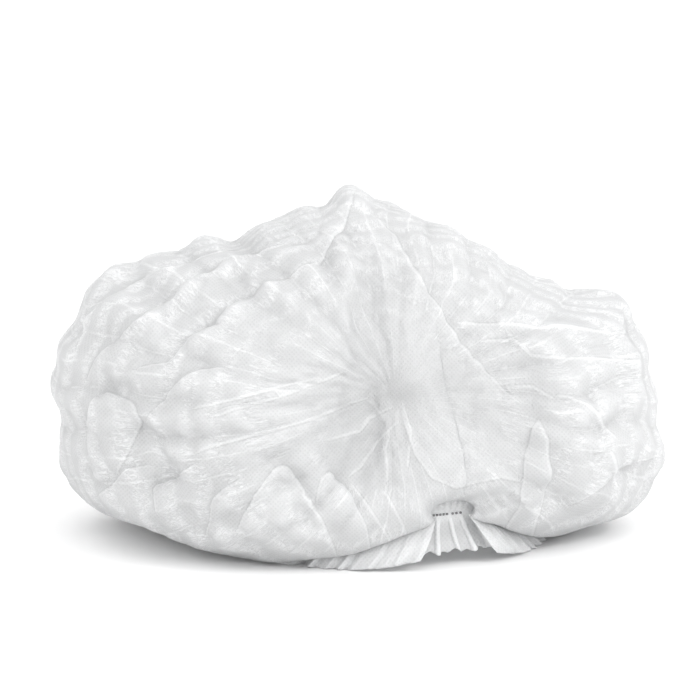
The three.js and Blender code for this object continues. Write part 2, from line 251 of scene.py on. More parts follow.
class Form:
    """Works out points of the cap from its sizes. across is 0 to 1 from the left neck over the top
    to the right neck, and turn is the angle from the front weld to the rear weld."""

    NECK_RISE_POWER = 16  # how late the neck climbs towards each weld
    TUCK = math.radians(15)  # over which the cloth swells out from the neck
    WELD_TUCK = math.radians(16)  # over which it swells out from a weld
    CROWDING = 1.25  # above 1, the rows stand closer near the neck
    FAN_LIFT = math.radians(32)  # how far the pleats beside a weld rise
    FAN_TURN = math.radians(20)  # where they rise most
    FAN_NECK = math.radians(40)  # pleats nearer to the neck than this rise less
    DROOP = 12 * MM  # how far each lobe sags, halfway between the welds
    DROOP_START = math.radians(2.5)
    DROOP_END = math.radians(28)
    HEM_REST_START = math.radians(40)  # the hem rests on the floor from here
    HEM_REST_END = math.radians(52)  # to here
    FRILL_END_RISE = 4 * MM  # the frill's foot above the floor, beside a tab
    FRILL_END = 14.5 * MM  # from the middle of a tab to the frill's end
    ARCH_SINK = 0.6  # how much lower the crown stands over a tab, as a share of its height there

    def __init__(self, sizes):
        self.sizes = sizes
        front = np.array(middle_of(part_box("pleat_tab_front")))
        rear = np.array(middle_of(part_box("pleat_tab_rear")))
        self.middle = np.array([*(front + rear)[:2] / 2, sizes.weld_height])
        self.to_front = np.array([math.sin(sizes.turn), -math.cos(sizes.turn), 0.0])
        self.to_left = np.array([-math.cos(sizes.turn), -math.sin(sizes.turn), 0.0])
        self.up = np.array([0.0, 0.0, 1.0])
        self.half = np.array([sizes.width / 2, sizes.depth / 2, sizes.height - sizes.weld_height])
        self.first_turn = math.asin(sizes.weld_half / (sizes.neck_width / 2))
        self.frill_turn = math.asin(self.FRILL_END / (sizes.neck_width / 2))
        degrees, reach = zip(*OUTLINE)
        self.outline_degrees = np.array(degrees, float)
        self.outline_reach = np.array(reach)

    def from_weld(self, turn):
        return np.minimum(turn, math.pi - turn)

    def hem_lift(self, turn):
        return self.sizes.hem_lift * smooth(self.from_weld(turn), self.HEM_REST_END, math.pi / 2)

    def foot_height(self, turn):
        start = self.frill_turn
        share = (self.from_weld(turn) - start) / (self.HEM_REST_START - start)
        return self.FRILL_END_RISE * (1 - settle(share)) + self.hem_lift(turn)

    def half_widths(self, edge):
        """Heights of the tab's foot, waist and head, and half its width there."""
        waist = self.sizes.weld_height
        return (
            (edge.tab_foot, edge.weld_row, waist, waist + edge.tab_rise),
            (edge.tab_foot_half, edge.tab_waist_half * 0.8, edge.tab_waist_half, edge.tab_head_half),
        )

    def neck_height(self, turn):
        rise = np.abs(np.cos(turn)) ** self.NECK_RISE_POWER
        low = self.sizes.neck_height + self.hem_lift(turn)
        return low + (self.sizes.weld_height - self.sizes.weld_drop - low) * rise

    def neck(self, turn, side, grown=0.0):
        """Points of the neck. side is 1 on the left and -1 on the right; grown moves them outwards."""
        ahead = np.cos(turn) * (self.sizes.neck_length / 2 + grown)
        left = side * np.sin(turn) * (self.sizes.neck_width / 2 + grown)
        point = ahead[..., None] * self.to_front + left[..., None] * self.to_left
        point[..., :2] += self.middle[:2]
        point[..., 2] = self.neck_height(turn)
        return point

    def oval_reach(self, direction):
        return 1 / np.linalg.norm(direction / self.half, axis=-1)

    def outline(self, degrees):
        """The outline's share at an angle, rounded between the table's rows."""
        row = np.clip(np.searchsorted(self.outline_degrees, degrees), 1, len(OUTLINE) - 1)
        low, high = self.outline_degrees[row - 1], self.outline_degrees[row]
        share = smooth(degrees, low, high)
        return self.outline_reach[row - 1] * (1 - share) + self.outline_reach[row] * share

    def share(self, direction):
        """The crown's share of the plain oval in a direction."""
        place = direction * self.oval_reach(direction)[..., None] / self.half
        across, along, up = place[..., 0], place[..., 1], place[..., 2]
        angle = np.degrees(np.arctan2(up, -across))
        side = self.outline(np.where(angle < -90, angle + 360, angle))
        share = side + (1 - side) * along * along
        for _, end, middle, height, wide, tall, lean, depth in DENTS:
            x, z = across - middle, up - height
            turned = math.radians(lean)
            a = (x * math.cos(turned) + z * math.sin(turned)) / wide
            b = (z * math.cos(turned) - x * math.sin(turned)) / tall
            share = share - depth * np.exp(-a * a - b * b) * (along * end > 0)
        return share

    def crown(self, across, turn):
        """Points of the crown's smooth face, and how far each is swollen out from neck and weld."""
        side = np.where(across < 0.5, 1.0, -1.0)
        neck = self.neck(turn, side) - self.middle
        neck_reach = np.linalg.norm(neck, axis=-1)
        neck_direction = neck / neck_reach[..., None]
        drop = np.arctan2(-neck[..., 2], np.abs(neck @ self.to_left))
        crowded = 0.5 * (2 * np.minimum(across, 1 - across)) ** self.CROWDING
        from_neck = crowded * (math.pi + 2 * drop)
        angle = np.where(across < 0.5, from_neck - drop, math.pi + drop - from_neck)
        tuck = settle(from_neck / self.TUCK)
        neck_turn = np.arccos(np.clip(neck_direction @ self.to_front, -1, 1))
        swing = neck_turn + (turn - neck_turn) * tuck
        direction = (
            np.cos(swing)[..., None] * self.to_front
            + (np.sin(swing) * np.cos(angle))[..., None] * self.to_left
            + (np.sin(swing) * np.sin(angle))[..., None] * self.up
        )
        fromweld = self.from_weld(turn)
        risen = smooth(fromweld, self.first_turn, self.FAN_TURN)
        risen = risen * (1 - smooth(fromweld, self.FAN_TURN, math.pi / 2))
        lift = self.FAN_LIFT * risen * settle(from_neck / self.FAN_NECK)
        lift = lift * np.where(turn < math.pi / 2, 1.0, -1.0)
        direction = turned_about(direction, self.to_left, lift)
        swollen = tuck * settle((fromweld - self.first_turn) / self.WELD_TUCK)
        neck_share = neck_reach / self.oval_reach(neck_direction)
        share = neck_share + (self.share(direction) - neck_share) * swollen
        point = direction * (self.oval_reach(direction) * share)[..., None] + self.middle
        near_weld = 1 - smooth(fromweld, self.first_turn, self.FAN_TURN)
        neck_height = self.neck_height(turn)
        point[..., 2] -= (point[..., 2] - neck_height) * near_weld * self.ARCH_SINK
        hang = settle(from_neck / self.DROOP_START) * (1 - settle(from_neck / self.DROOP_END))
        point[..., 2] -= self.DROOP * hang * np.sin(turn)
        return point, swollen


def middle_of(box):
    return (box[0] + box[1]) / 2


def turned_about(vectors, axis, angle):
    """Vectors turned about an axis, each by its own angle."""
    cosine, sine = np.cos(angle)[..., None], np.sin(angle)[..., None]
    along = (vectors @ axis)[..., None] * axis
    return vectors * cosine + np.cross(axis, vectors) * sine + along * (1 - cosine)


def grid_normals(points):
    """Unit normals of a grid of points, looking to the outer side of the cap."""
    onward = np.gradient(points, axis=0)
    sideways = np.gradient(points, axis=1)
    normal = np.cross(sideways, onward)
    return normal / np.maximum(np.linalg.norm(normal, axis=-1), 1e-12)[..., None]


def photo_places(points):
    """Where points fall in the photograph, in its pixels."""
    back = np.array([0.0, -math.cos(VIEW_ELEVATION), math.sin(VIEW_ELEVATION)])
    up = np.array([0.0, math.sin(VIEW_ELEVATION), math.cos(VIEW_ELEVATION)])
    from_eye = points - (np.array(VIEW_TARGET) + back * VIEW_DISTANCE)
    scale = VIEW_DISTANCE / (-(from_eye @ back) * PHOTO_SCALE)
    return np.stack([
        PHOTO_MIDDLE[0] + from_eye[..., 0] * scale,
        PHOTO_MIDDLE[1] - (from_eye @ up) * scale,
    ], axis=-1)


# Making meshes from grids

def plain_grid(name, rows, columns):
    """A flat grid mesh, and the row and column of each of its vertices."""
    work = bmesh.new()
    bmesh.ops.create_grid(work, x_segments=columns - 1, y_segments=rows - 1, size=1.0)
    mesh = bpy.data.meshes.new(name)
    work.to_mesh(mesh)
    work.free()
    plain = np.empty(len(mesh.vertices) * 3)
    mesh.vertices.foreach_get("co", plain)
    plain = plain.reshape(-1, 3)
    column = np.rint((plain[:, 0] + 1) / 2 * (columns - 1)).astype(int)
    row = np.rint((plain[:, 1] + 1) / 2 * (rows - 1)).astype(int)
    return mesh, row, column


HELD_STEPS = 50
THIN_CLOTH = {
    "quality": 4, "mass": 0.0003, "air_damping": 4, "pin_stiffness": 1.0,
    "tension_stiffness": 12, "compression_stiffness": 12, "shear_stiffness": 4,
    "tension_damping": 6, "compression_damping": 6, "shear_damping": 6,
}


def crumpled(points, held, crown):
    """The grid of points after it has been simulated as loose cloth with some cloth to spare.
    held is how firmly each point is kept in its place."""
    mesh, row, column = plain_grid("trial_sheet", *points.shape[:2])
    mesh.vertices.foreach_set("co", points[row, column].ravel())
    trial = bpy.data.objects.new("trial_sheet", mesh)
    bpy.context.scene.collection.objects.link(trial)
    group = trial.vertex_groups.new(name="Held")
    steps = np.rint(held[row, column] * HELD_STEPS).astype(int)
    for step in np.unique(steps):
        group.add(np.flatnonzero(steps == step).tolist(), step / HELD_STEPS, "REPLACE")
    cloth = trial.modifiers.new("Cloth", "CLOTH")
    feel = cloth.settings
    for setting, value in THIN_CLOTH.items():
        setattr(feel, setting, value)
    feel.bending_stiffness = crown.cloth_bending
    feel.vertex_group_mass = "Held"
    feel.shrink_min = -crown.spare_cloth
    feel.effector_weights.gravity = 0.0
    cloth.collision_settings.use_collision = False
    cloth.point_cache.frame_end = crown.cloth_frames
    scene = bpy.context.scene
    for frame_number in range(1, crown.cloth_frames + 1):
        scene.frame_set(frame_number)
    settled = trial.evaluated_get(bpy.context.evaluated_depsgraph_get()).data
    places = np.empty(len(settled.vertices) * 3)
    settled.vertices.foreach_get("co", places)
    result = np.empty_like(points)
    result[row, column] = places.reshape(-1, 3)
    bpy.data.objects.remove(trial)
    bpy.data.meshes.remove(mesh)
    scene.frame_set(1)
    return result


def finer(grid, rows, columns):
    """A grid of values carried over smoothly onto a finer grid."""
    for axis, count in ((0, rows), (1, columns)):
        place = np.linspace(0, grid.shape[axis] - 1, count)
        low = np.clip(place.astype(int), 0, grid.shape[axis] - 2)
        share = (place - low).reshape([-1 if n == axis else 1 for n in range(grid.ndim)])
        last = grid.shape[axis] - 1
        a, b, c, d = [np.take(grid, np.clip(low + n, 0, last), axis=axis) for n in (-1, 0, 1, 2)]
        bend = (2 * b, c - a, 2 * a - 5 * b + 4 * c - d, 3 * b - a - 3 * c + d)
        grid = (bend[0] + share * (bend[1] + share * (bend[2] + share * bend[3]))) / 2
    return grid


PANEL_WRAP = 26  # pleats after which the count may start again within a face
SAME_PLACE = 0.01 * MM


def grid_mesh(name, points, panels, layers, closed=False):
    """A mesh object from a plain grid whose vertices are moved to a grid of points. It carries two
    flat maps: Panels, and Weave, in mm, in which each face is laid flat along the axis that it faces
    most. layers holds a layer of painted light and shade, how much lighter or darker the cloth is
    painted there, and Line, how many mm to the side of a fold's edge it is."""
    mesh, row, column = plain_grid(name, *points.shape[:2])
    places = points[row, column]
    mesh.vertices.foreach_set("co", places.ravel())
    corners = np.empty(len(mesh.loops), int)
    mesh.loops.foreach_get("vertex_index", corners)
    facing = grid_normals(points)
    quads = corners.reshape(-1, 4)
    faced = np.abs(facing[row, column][quads].mean(axis=1)).argmax(axis=-1)
    kept = np.array([(1, 2), (0, 2), (0, 1)])[faced]
    weave = np.take_along_axis(places[quads], kept[:, None, :], axis=-1) / MM
    flat = panels[row, column][quads]
    flat[..., 0] -= np.rint((flat[..., 0] - flat[:, :1, 0]) / PANEL_WRAP) * PANEL_WRAP
    for key, flat in (("Panels", flat), ("Weave", weave)):
        layer = mesh.uv_layers.new(name=key)
        layer.data.foreach_set("uv", flat.astype(np.float32).ravel())
    for key, values in layers.items():
        layer = mesh.attributes.new(key, "FLOAT", "POINT")
        layer.data.foreach_set("value", values[row, column].astype(np.float32))
    mesh.polygons.foreach_set("use_smooth", np.ones(len(mesh.polygons), bool))
    work = bmesh.new()
    work.from_mesh(mesh)
    bmesh.ops.remove_doubles(work, verts=work.verts, dist=SAME_PLACE)
    if closed:
        bmesh.ops.holes_fill(work, edges=[e for e in work.edges if e.is_boundary])
    bmesh.ops.recalc_face_normals(work, faces=work.faces)
    work.to_mesh(mesh)
    work.free()
    mesh.update()
    obj = bpy.data.objects.new(name, mesh)
    bpy.context.scene.collection.objects.link(obj)
    return obj


def give_thickness(obj, thickness):
    """A thin closed wall, half to each side of the sheet."""
    solid = obj.modifiers.new("Wall", "SOLIDIFY")
    solid.thickness = thickness
    solid.offset = 0
    solid.use_rim = True
    solid.use_even_offset = False


# Materials

class Sock:
    """A socket whose operators add Math nodes."""

    def __init__(self, build, socket):
        self.build = build
        self.socket = socket

    def _math(self, operation, *values, clamp=False):
        return self.build.node("ShaderNodeMath", {"operation": operation, "use_clamp": clamp}, *values)

    def __add__(self, other):
        return self._math("ADD", self, other)

    def __sub__(self, other):
        return self._math("SUBTRACT", self, other)

    def __mul__(self, other):
        return self._math("MULTIPLY", self, other)

    def __truediv__(self, other):
        return self._math("DIVIDE", self, other)

    def __radd__(self, other):
        return self._math("ADD", other, self)

    def __rsub__(self, other):
        return self._math("SUBTRACT", other, self)

    def __rmul__(self, other):
        return self._math("MULTIPLY", other, self)

    def __rtruediv__(self, other):
        return self._math("DIVIDE", other, self)

    def __pow__(self, other):
        return self._math("POWER", self, other)

    def __abs__(self):
        return self._math("ABSOLUTE", self)

    def clamped(self):
        return self._math("ADD", self, 0.0, clamp=True)

    def step(self, low, high):
        """A smooth step from 0 at low to 1 at high."""
        return self.build.node(
            "ShaderNodeMapRange",
            {"interpolation_type": "SMOOTHSTEP"},
            self, low, high, 0.0, 1.0,
        )


class Build:
    """Adds nodes to one material."""

    def __init__(self, name):
        self.material = bpy.data.materials.new(name)
        self.material.use_nodes = True
        self.tree = self.material.node_tree
        self.tree.nodes.clear()

    @classmethod
    def on(cls, tree):
        """Adds nodes to a tree that exists."""
        build = cls.__new__(cls)
        build.tree = tree
        return build

    def node(self, kind, settings, *values, out=0, **named):
        """A node of a kind with its settings, and its sockets set or linked, by place or by name."""
        node = self.tree.nodes.new(kind)
        for key, value in settings.items():
            setattr(node, key, value)
        for place, value in enumerate(values):
            self.feed(node.inputs[place], value)
        for key, value in named.items():
            self.feed(node.inputs[key.replace("_", " ")], value)
        if out is None:
            return node
        return Sock(self, node.outputs[out])

    def feed(self, socket, value):
        if isinstance(value, Sock):
            self.tree.links.new(value.socket, socket)
        elif value is not None:
            socket.default_value = value

    def mix(self, share, first, second):
        """Two colours mixed by a share."""
        unused = (None,) * 5
        return self.node("ShaderNodeMix", {"data_type": "RGBA"}, share, *unused, first, second, out=2)

    def finish(self, shader):
        out = self.tree.nodes.new("ShaderNodeOutputMaterial")
        self.tree.links.new(shader.socket, out.inputs["Surface"])
        return self.material


def rgba(colour, share=1.0):
    return (colour[0] * share, colour[1] * share, colour[2] * share, 1.0)


DOT_PITCH = 1.15  # of the embossed dots, in mm
DOT_TURN = math.radians(45)
FIBRE_SCALE = 1300.0
CLOUD_SCALE = 62.0
CRINKLE_SCALE = (11.0, 4.5, 1.0)  # to a pleat and to a pucker
LIGHT_THROUGH = 0.34
BUMP_HEIGHT = 0.4 * MM


def cloth_material(name, colour):
    """Thin spunbond nonwoven: bonded dots in a staggered lattice, loose fibres, glossy crinkles with
    painted glints on the lit sides of the puckers, painted highlights along crease lines between the
    pleats, painted shade beside the folds' lower edges, the mesh's painted light and shade, and light
    that comes through."""
    build = Build(name)

    # Bonded dots and loose fibres
    weave = build.node("ShaderNodeUVMap", {"uv_map": "Weave"})
    lattice = build.node(
        "ShaderNodeMapping", {"vector_type": "POINT"}, weave, Rotation=(0.0, 0.0, DOT_TURN),
        Scale=(1 / DOT_PITCH, 1 / DOT_PITCH, 1.0),
    )
    dots = build.node(
        "ShaderNodeTexVoronoi", {"feature": "F1", "voronoi_dimensions": "2D"}, lattice,
        Scale=1.0, Randomness=0.18,
    )
    pit = 1 - dots.step(0.12, 0.42)
    place = build.node("ShaderNodeTexCoord", {}, out=3)
    fibres = build.node("ShaderNodeTexNoise", {}, place, Scale=FIBRE_SCALE, Detail=1.0, Roughness=0.7)
    cloud = build.node("ShaderNodeTexNoise", {}, place, Scale=CLOUD_SCALE, Detail=2.0, Roughness=0.6)

    # Painted highlights on the lines between the pleats, where u counts pleats and v counts puckers,
    # and painted highlights and painted shade on the raised and lower sides of the folds' edges
    panels = build.node("ShaderNodeUVMap", {"uv_map": "Panels"})
    parts = build.node("ShaderNodeSeparateXYZ", {}, panels, out=None)
    pleat, pucker = Sock(build, parts.outputs[0]), Sock(build, parts.outputs[1])
    from_line = abs(build.node("ShaderNodeMath", {"operation": "FRACT"}, pleat + 0.5) - 0.5)
    line = (1 - from_line.step(0.01, 0.08)) * cloud.step(0.42, 0.58) * 0.6
    edge = build.node("ShaderNodeAttribute", {"attribute_name": "Line"}, out=2)
    line = line + (1 - abs(edge - 0.4).step(0.2, 0.7)) * 0.4
    under = 1 - abs(edge + 0.4).step(0.1, 0.5)

    # Patches on the lit side of the puckers, with glossy crinkles that carry painted glints, and a
    # faint painted light on each pucker's lit side
    sunny = build.node("ShaderNodeMath", {"operation": "SINE"}, pucker * (2 * math.pi) + cloud * 4.2)
    gloss_and_painted_glint = (sunny * 0.32 + cloud * 1.3 - 0.46).step(0.0, 0.5) * (0.25 + pucker.step(1.0, 4.0) * 0.75)
    stretched = build.node(
        "ShaderNodeMapping", {"vector_type": "POINT"}, panels, Scale=CRINKLE_SCALE,
    )
    waves = build.node(
        "ShaderNodeTexNoise", {"noise_dimensions": "2D"}, stretched,
        Scale=1.0, Detail=1.4, Roughness=0.6, Distortion=1.3,
    )
    crinkle = (1 - abs(waves - 0.5) * 7.0).clamped()

    # The cloth's colour with its painted light and shade, its bumps and gloss, some light through it,
    # and the gaps between its fibres
    height = crinkle * (0.2 + gloss_and_painted_glint * 0.8) * 0.45 + fibres * 0.2 - pit * (1 - gloss_and_painted_glint) * 0.3 + line * 0.5
    bump = build.node("ShaderNodeBump", {}, Strength=0.7, Distance=BUMP_HEIGHT, Height=height)
    painted_shading = build.node("ShaderNodeAttribute", {"attribute_name": "PaintedShading"}, out=2)
    # painted light and shade in the colour: the mesh's painted shading, painted highlights on lines,
    # painted shade under the folds' edges, painted glints in the patches and painted light on the
    # puckers' lit sides; the dots, fibres and clouds are the cloth's own tone
    bright = 0.98 + painted_shading * 1.5 + line * 0.18 - under * 0.12 + gloss_and_painted_glint * crinkle * 0.36 + sunny * 0.012
    bright = bright - pit * (1 - gloss_and_painted_glint * 0.9) * 0.04 - fibres * 0.05 + cloud * 0.05
    shade = build.node("ShaderNodeVectorMath", {"operation": "SCALE"}, rgba(colour)[:3], Scale=bright)
    front = build.node(
        "ShaderNodeBsdfPrincipled", {},
        Base_Color=shade, Roughness=0.5 - gloss_and_painted_glint * 0.12, IOR=1.4, Normal=bump,
    )
    through = build.node("ShaderNodeBsdfTranslucent", {}, Color=rgba(colour), Normal=bump)
    body = build.node("ShaderNodeMixShader", {}, LIGHT_THROUGH, front, through)
    clear = build.node("ShaderNodeBsdfTransparent", {}, Color=(1, 1, 1, 1))
    gaps = 0.05 + pit * 0.04 - line * 0.08 - painted_shading * 0.5
    return build.finish(build.node("ShaderNodeMixShader", {}, gaps.clamped(), body, clear))


WINDING_SCALE = 420.0
FUZZ_SCALE = 2200.0
WINDING_HEIGHT = 0.15 * MM


def elastic_material(name, colour):
    """White covered strand: fine winding round it, painted darker in its grooves as painted shade, and
    a soft sheen.
    """
    build = Build(name)
    place = build.node("ShaderNodeTexCoord", {}, out=3)
    winding = build.node(
        "ShaderNodeTexWave", {"wave_type": "BANDS", "bands_direction": "DIAGONAL"}, place,
        Scale=WINDING_SCALE, Distortion=1.5, Detail=1.0,
    )
    fuzz = build.node("ShaderNodeTexNoise", {}, place, Scale=FUZZ_SCALE, Detail=2.0)
    height = winding * 0.7 + fuzz * 0.3
    bump = build.node("ShaderNodeBump", {}, Strength=0.5, Distance=WINDING_HEIGHT, Height=height)
    # painted shade: the winding's grooves, where the bump is low, are painted darker
    shade = build.mix(winding, rgba(colour, 0.9), rgba(colour, 1.02))
    return build.finish(build.node(
        "ShaderNodeBsdfPrincipled", {}, Base_Color=shade, Roughness=0.55, Normal=bump,
    ))


def weld_material(name, colour):
    """Fused film of the weld points: the cloth melted clear and greyish; its dark grey is partly the
    film's own colour and partly painted shade, for the shaded inside seen through it.
    """
    build = Build(name)
    place = build.node("ShaderNodeTexCoord", {}, out=3)
    blotch = build.node("ShaderNodeTexNoise", {}, place, Scale=900.0, Detail=2.0)
    shade = build.mix(blotch, rgba(colour, 0.16), rgba(colour, 0.34))
    rough = 0.25 + blotch * 0.25
    return build.finish(build.node("ShaderNodeBsdfPrincipled", {}, Base_Color=shade, Roughness=rough))


def floor_material(name, colour):
    """Pale matt sweep with the faintest mottling."""
    build = Build(name)
    place = build.node("ShaderNodeTexCoord", {}, out=3)
    mottle = build.node("ShaderNodeTexNoise", {}, place, Scale=9.0, Detail=2.0)
    shade = build.mix(mottle, rgba(colour, 0.995), rgba(colour, 1.0))
    return build.finish(build.node(
        "ShaderNodeBsdfPrincipled", {}, Base_Color=shade, Roughness=0.9, Specular_IOR_Level=0.0,
    ))


def shared_material(key, maker, *details):
    return bpy.data.materials.get(key) or maker(key, *details)


# Folds that the photograph shows on the front.
# Columns: name, points in the photograph's pixels, width to each side in mm, height in mm, kind.
# ridge: a soft crest, or a hollow where its height is below 0; its colour follows its height, with
# painted shade where it sinks and painted light where it rises. crease: a sharp narrow crest with a
# painted highlight. step: a fold's edge, whose right-hand side, going along the points, stands higher
# and laps over the other side; painted light on that side and painted shade on the other.
FRONT_FOLDS = (
    ("tip crease",
     ((366, 212), (395, 235), (411, 267), (432, 298), (461, 345), (499, 385), (520, 404)),
     5, 1.8, "step"),
    ("tip pleat", ((352, 197), (345, 222), (330, 244), (317, 268)), 4, 2.2, "step"),
    ("tip sliver", ((350, 215), (352, 240), (358, 262)), 5, -2.0, "ridge"),
    ("centre valley", ((383, 267), (368, 310), (361, 353), (373, 388)), 9, -5.0, "ridge"),
    ("pole hollow", ((380, 380), (395, 395), (400, 410)), 12, -2.5, "ridge"),
    ("lower hollow", ((390, 430), (360, 452), (328, 470)), 12, -4.0, "ridge"),
    ("upper hollow", ((378, 402), (345, 414), (326, 424)), 7, -2.4, "ridge"),
    ("terrace one",
     ((78, 350), (85, 319), (135, 281), (167, 272), (199, 258), (240, 250)),
     5, 3.6, "step"),
    ("terrace two",
     ((83, 381), (115, 342), (131, 331), (162, 308), (203, 279), (244, 258), (290, 246)),
     6, 4.4, "step"),
    ("terrace three",
     ((140, 369), (167, 364), (180, 351), (210, 333), (244, 303), (280, 283), (318, 262)),
     6, 3.9, "step"),
    ("terrace four", ((150, 420), (170, 392), (200, 372), (225, 368)), 5, 2.6, "step"),
    ("pocket",
     ((99, 480), (92, 467), (88, 433), (94, 401), (106, 394), (135, 403), (142, 421), (117, 473)),
     4, 2.9, "step"),
    ("pole crease one", ((368, 399), (303, 423), (250, 437), (200, 451)), 1.6, 1.3, "crease"),
    ("pole crease two", ((320, 378), (269, 392), (194, 410)), 1.6, 1.1, "crease"),
    ("pole crease three", ((345, 372), (290, 394), (215, 418)), 1.4, 0.8, "crease"),
    ("pole crease four", ((392, 408), (369, 420), (361, 432), (326, 441)), 1.6, 1.3, "crease"),
    ("pole crease five", ((399, 423), (374, 444), (361, 467), (350, 477)), 1.6, 1.4, "crease"),
    ("pole crease six", ((390, 434), (385, 449), (388, 467), (388, 484)), 1.5, 1.2, "crease"),
    ("pole crease seven", ((402, 402), (412, 432), (408, 470)), 2.0, 1.2, "crease"),
    ("right crease one", ((457, 322), (558, 328), (622, 334)), 1.3, 1.0, "crease"),
    ("right crease two",
     ((483, 341), (514, 338), (533, 355), (574, 357), (638, 363)),
     1.3, 1.1, "crease"),
    ("right crease three", ((504, 386), (534, 386), (554, 398)), 1.4, 1.0, "crease"),
    ("right crease four", ((556, 394), (572, 396), (595, 413), (615, 440)), 1.4, 1.0, "crease"),
    ("brow edge",
     ((530, 484), (500, 477), (455, 488), (432, 478), (415, 455), (403, 420)),
     6, 2.4, "step"),
    ("brow groove", ((484, 430), (498, 458), (505, 472)), 2, -1.4, "ridge"),
    ("brow groove two", ((510, 430), (520, 461)), 2, -1.4, "ridge"),
    ("tongue left",
     ((503, 550), (505, 530), (520, 505), (524, 477), (527, 449), (539, 418)),
     4, 2.9, "step"),
    ("tongue right", ((539, 418), (548, 440), (548, 480), (536, 516), (532, 540)), 4, 2.6, "step"),
    ("tongue side", ((545, 552), (560, 525), (565, 500), (549, 440)), 5, -2.2, "ridge"),
    ("left fan",
     ((238, 530), (255, 496), (276, 469), (285, 466), (318, 512), (338, 556)),
     4.5, 3.2, "step"),
    ("right fan",
     ((316, 505), (322, 478), (331, 472), (352, 500), (366, 530), (372, 556)),
     4, 3.0, "step"),
    ("fan crease", ((300, 491), (322, 519), (330, 545)), 1.8, 1.6, "crease"),
    ("fan crease two", ((352, 482), (375, 515), (396, 548)), 2.4, 1.8, "crease"),
    ("fan crease three", ((385, 490), (402, 520), (410, 545)), 2.4, 1.6, "crease"),
    ("low fold", ((158, 512), (153, 487), (176, 478), (199, 462)), 4, 3.4, "step"),
    ("low fold two", ((205, 535), (215, 500), (240, 478)), 4, 2.9, "step"),
    ("lobe foot fold", ((100, 495), (128, 470), (150, 466)), 4, 2.3, "step"),
    ("right edge fold", ((620, 312), (624, 338), (638, 359), (641, 388), (647, 413)), 3.5, 2.9, "step"),
    ("right foot fold", ((655, 455), (620, 470), (593, 489), (568, 508)), 5, 3.4, "step"),
    ("right foot crease", ((607, 450), (614, 468), (620, 490)), 1.8, 1.4, "crease"),
)

# Folds of the rear, in the pixels of the same view from behind; the photograph doesn't show them.
REAR_FOLDS = (
    ("rear crease", ((345, 205), (325, 260), (300, 330), (255, 400)), 6, 3.4, "step"),
    ("rear terrace", ((640, 380), (590, 330), (520, 290), (450, 262)), 6, -3.0, "step"),
    ("rear terrace two", ((620, 430), (560, 370), (490, 330), (420, 300)), 6, -2.8, "step"),
    ("rear pleat", ((60, 380), (120, 330), (200, 300), (290, 290)), 6, 3.6, "step"),
    ("rear pleat two", ((80, 440), (150, 400), (230, 385), (300, 390)), 5, 3.1, "step"),
    ("rear hollow crease", ((300, 440), (230, 450), (150, 470)), 1.8, 1.4, "crease"),
    ("rear hollow crease two", ((340, 430), (420, 420), (520, 440)), 1.8, 1.4, "crease"),
    ("rear fan", ((390, 545), (400, 500), (415, 480), (450, 520), (470, 555)), 4.5, 4.9, "step"),
    ("rear fan two", ((180, 530), (200, 490), (215, 478), (240, 515), (250, 545)), 4.5, 4.4, "step"),
)


FAR_LINE = 9.0  # in mm, where no fold's edge is near
# painted light on the raised side of a fold's edge and painted shade on its lower side
EDGE_PAINTED_SHADING = 0.05
# painted highlight along a crease
CREASE_PAINTED_HIGHLIGHT = 0.09
HOLLOW_PAINTED_SHADE = 0.011  # painted shade in a hollow, to a mm of its depth


def fold_distance(places, path):
    """Distance in pixels from places to a path, how far they lie to its right, how far along it
    from 0 to 1, and the nearest part's direction to the right."""
    path = np.array(path, float)
    lengths = np.linalg.norm(np.diff(path, axis=0), axis=1)
    nearest = np.full(places.shape[:-1], np.inf)
    side = np.zeros(places.shape[:-1])
    along = np.zeros(places.shape[:-1])
    right = np.zeros(places.shape)
    passed = 0.0
    for start, end, length in zip(path[:-1], path[1:], lengths):
        heading = (end - start) / length
        to_right = np.array([-heading[1], heading[0]])
        offset = places - start
        run = np.clip(offset @ heading, 0, length)
        distance = np.linalg.norm(offset - run[..., None] * heading, axis=-1)
        closer = distance < nearest
        nearest = np.where(closer, distance, nearest)
        side = np.where(closer, offset @ to_right, side)
        along = np.where(closer, (passed + run) / lengths.sum(), along)
        right = np.where(closer[..., None], to_right, right)
        passed += length
    return nearest, side, along, right


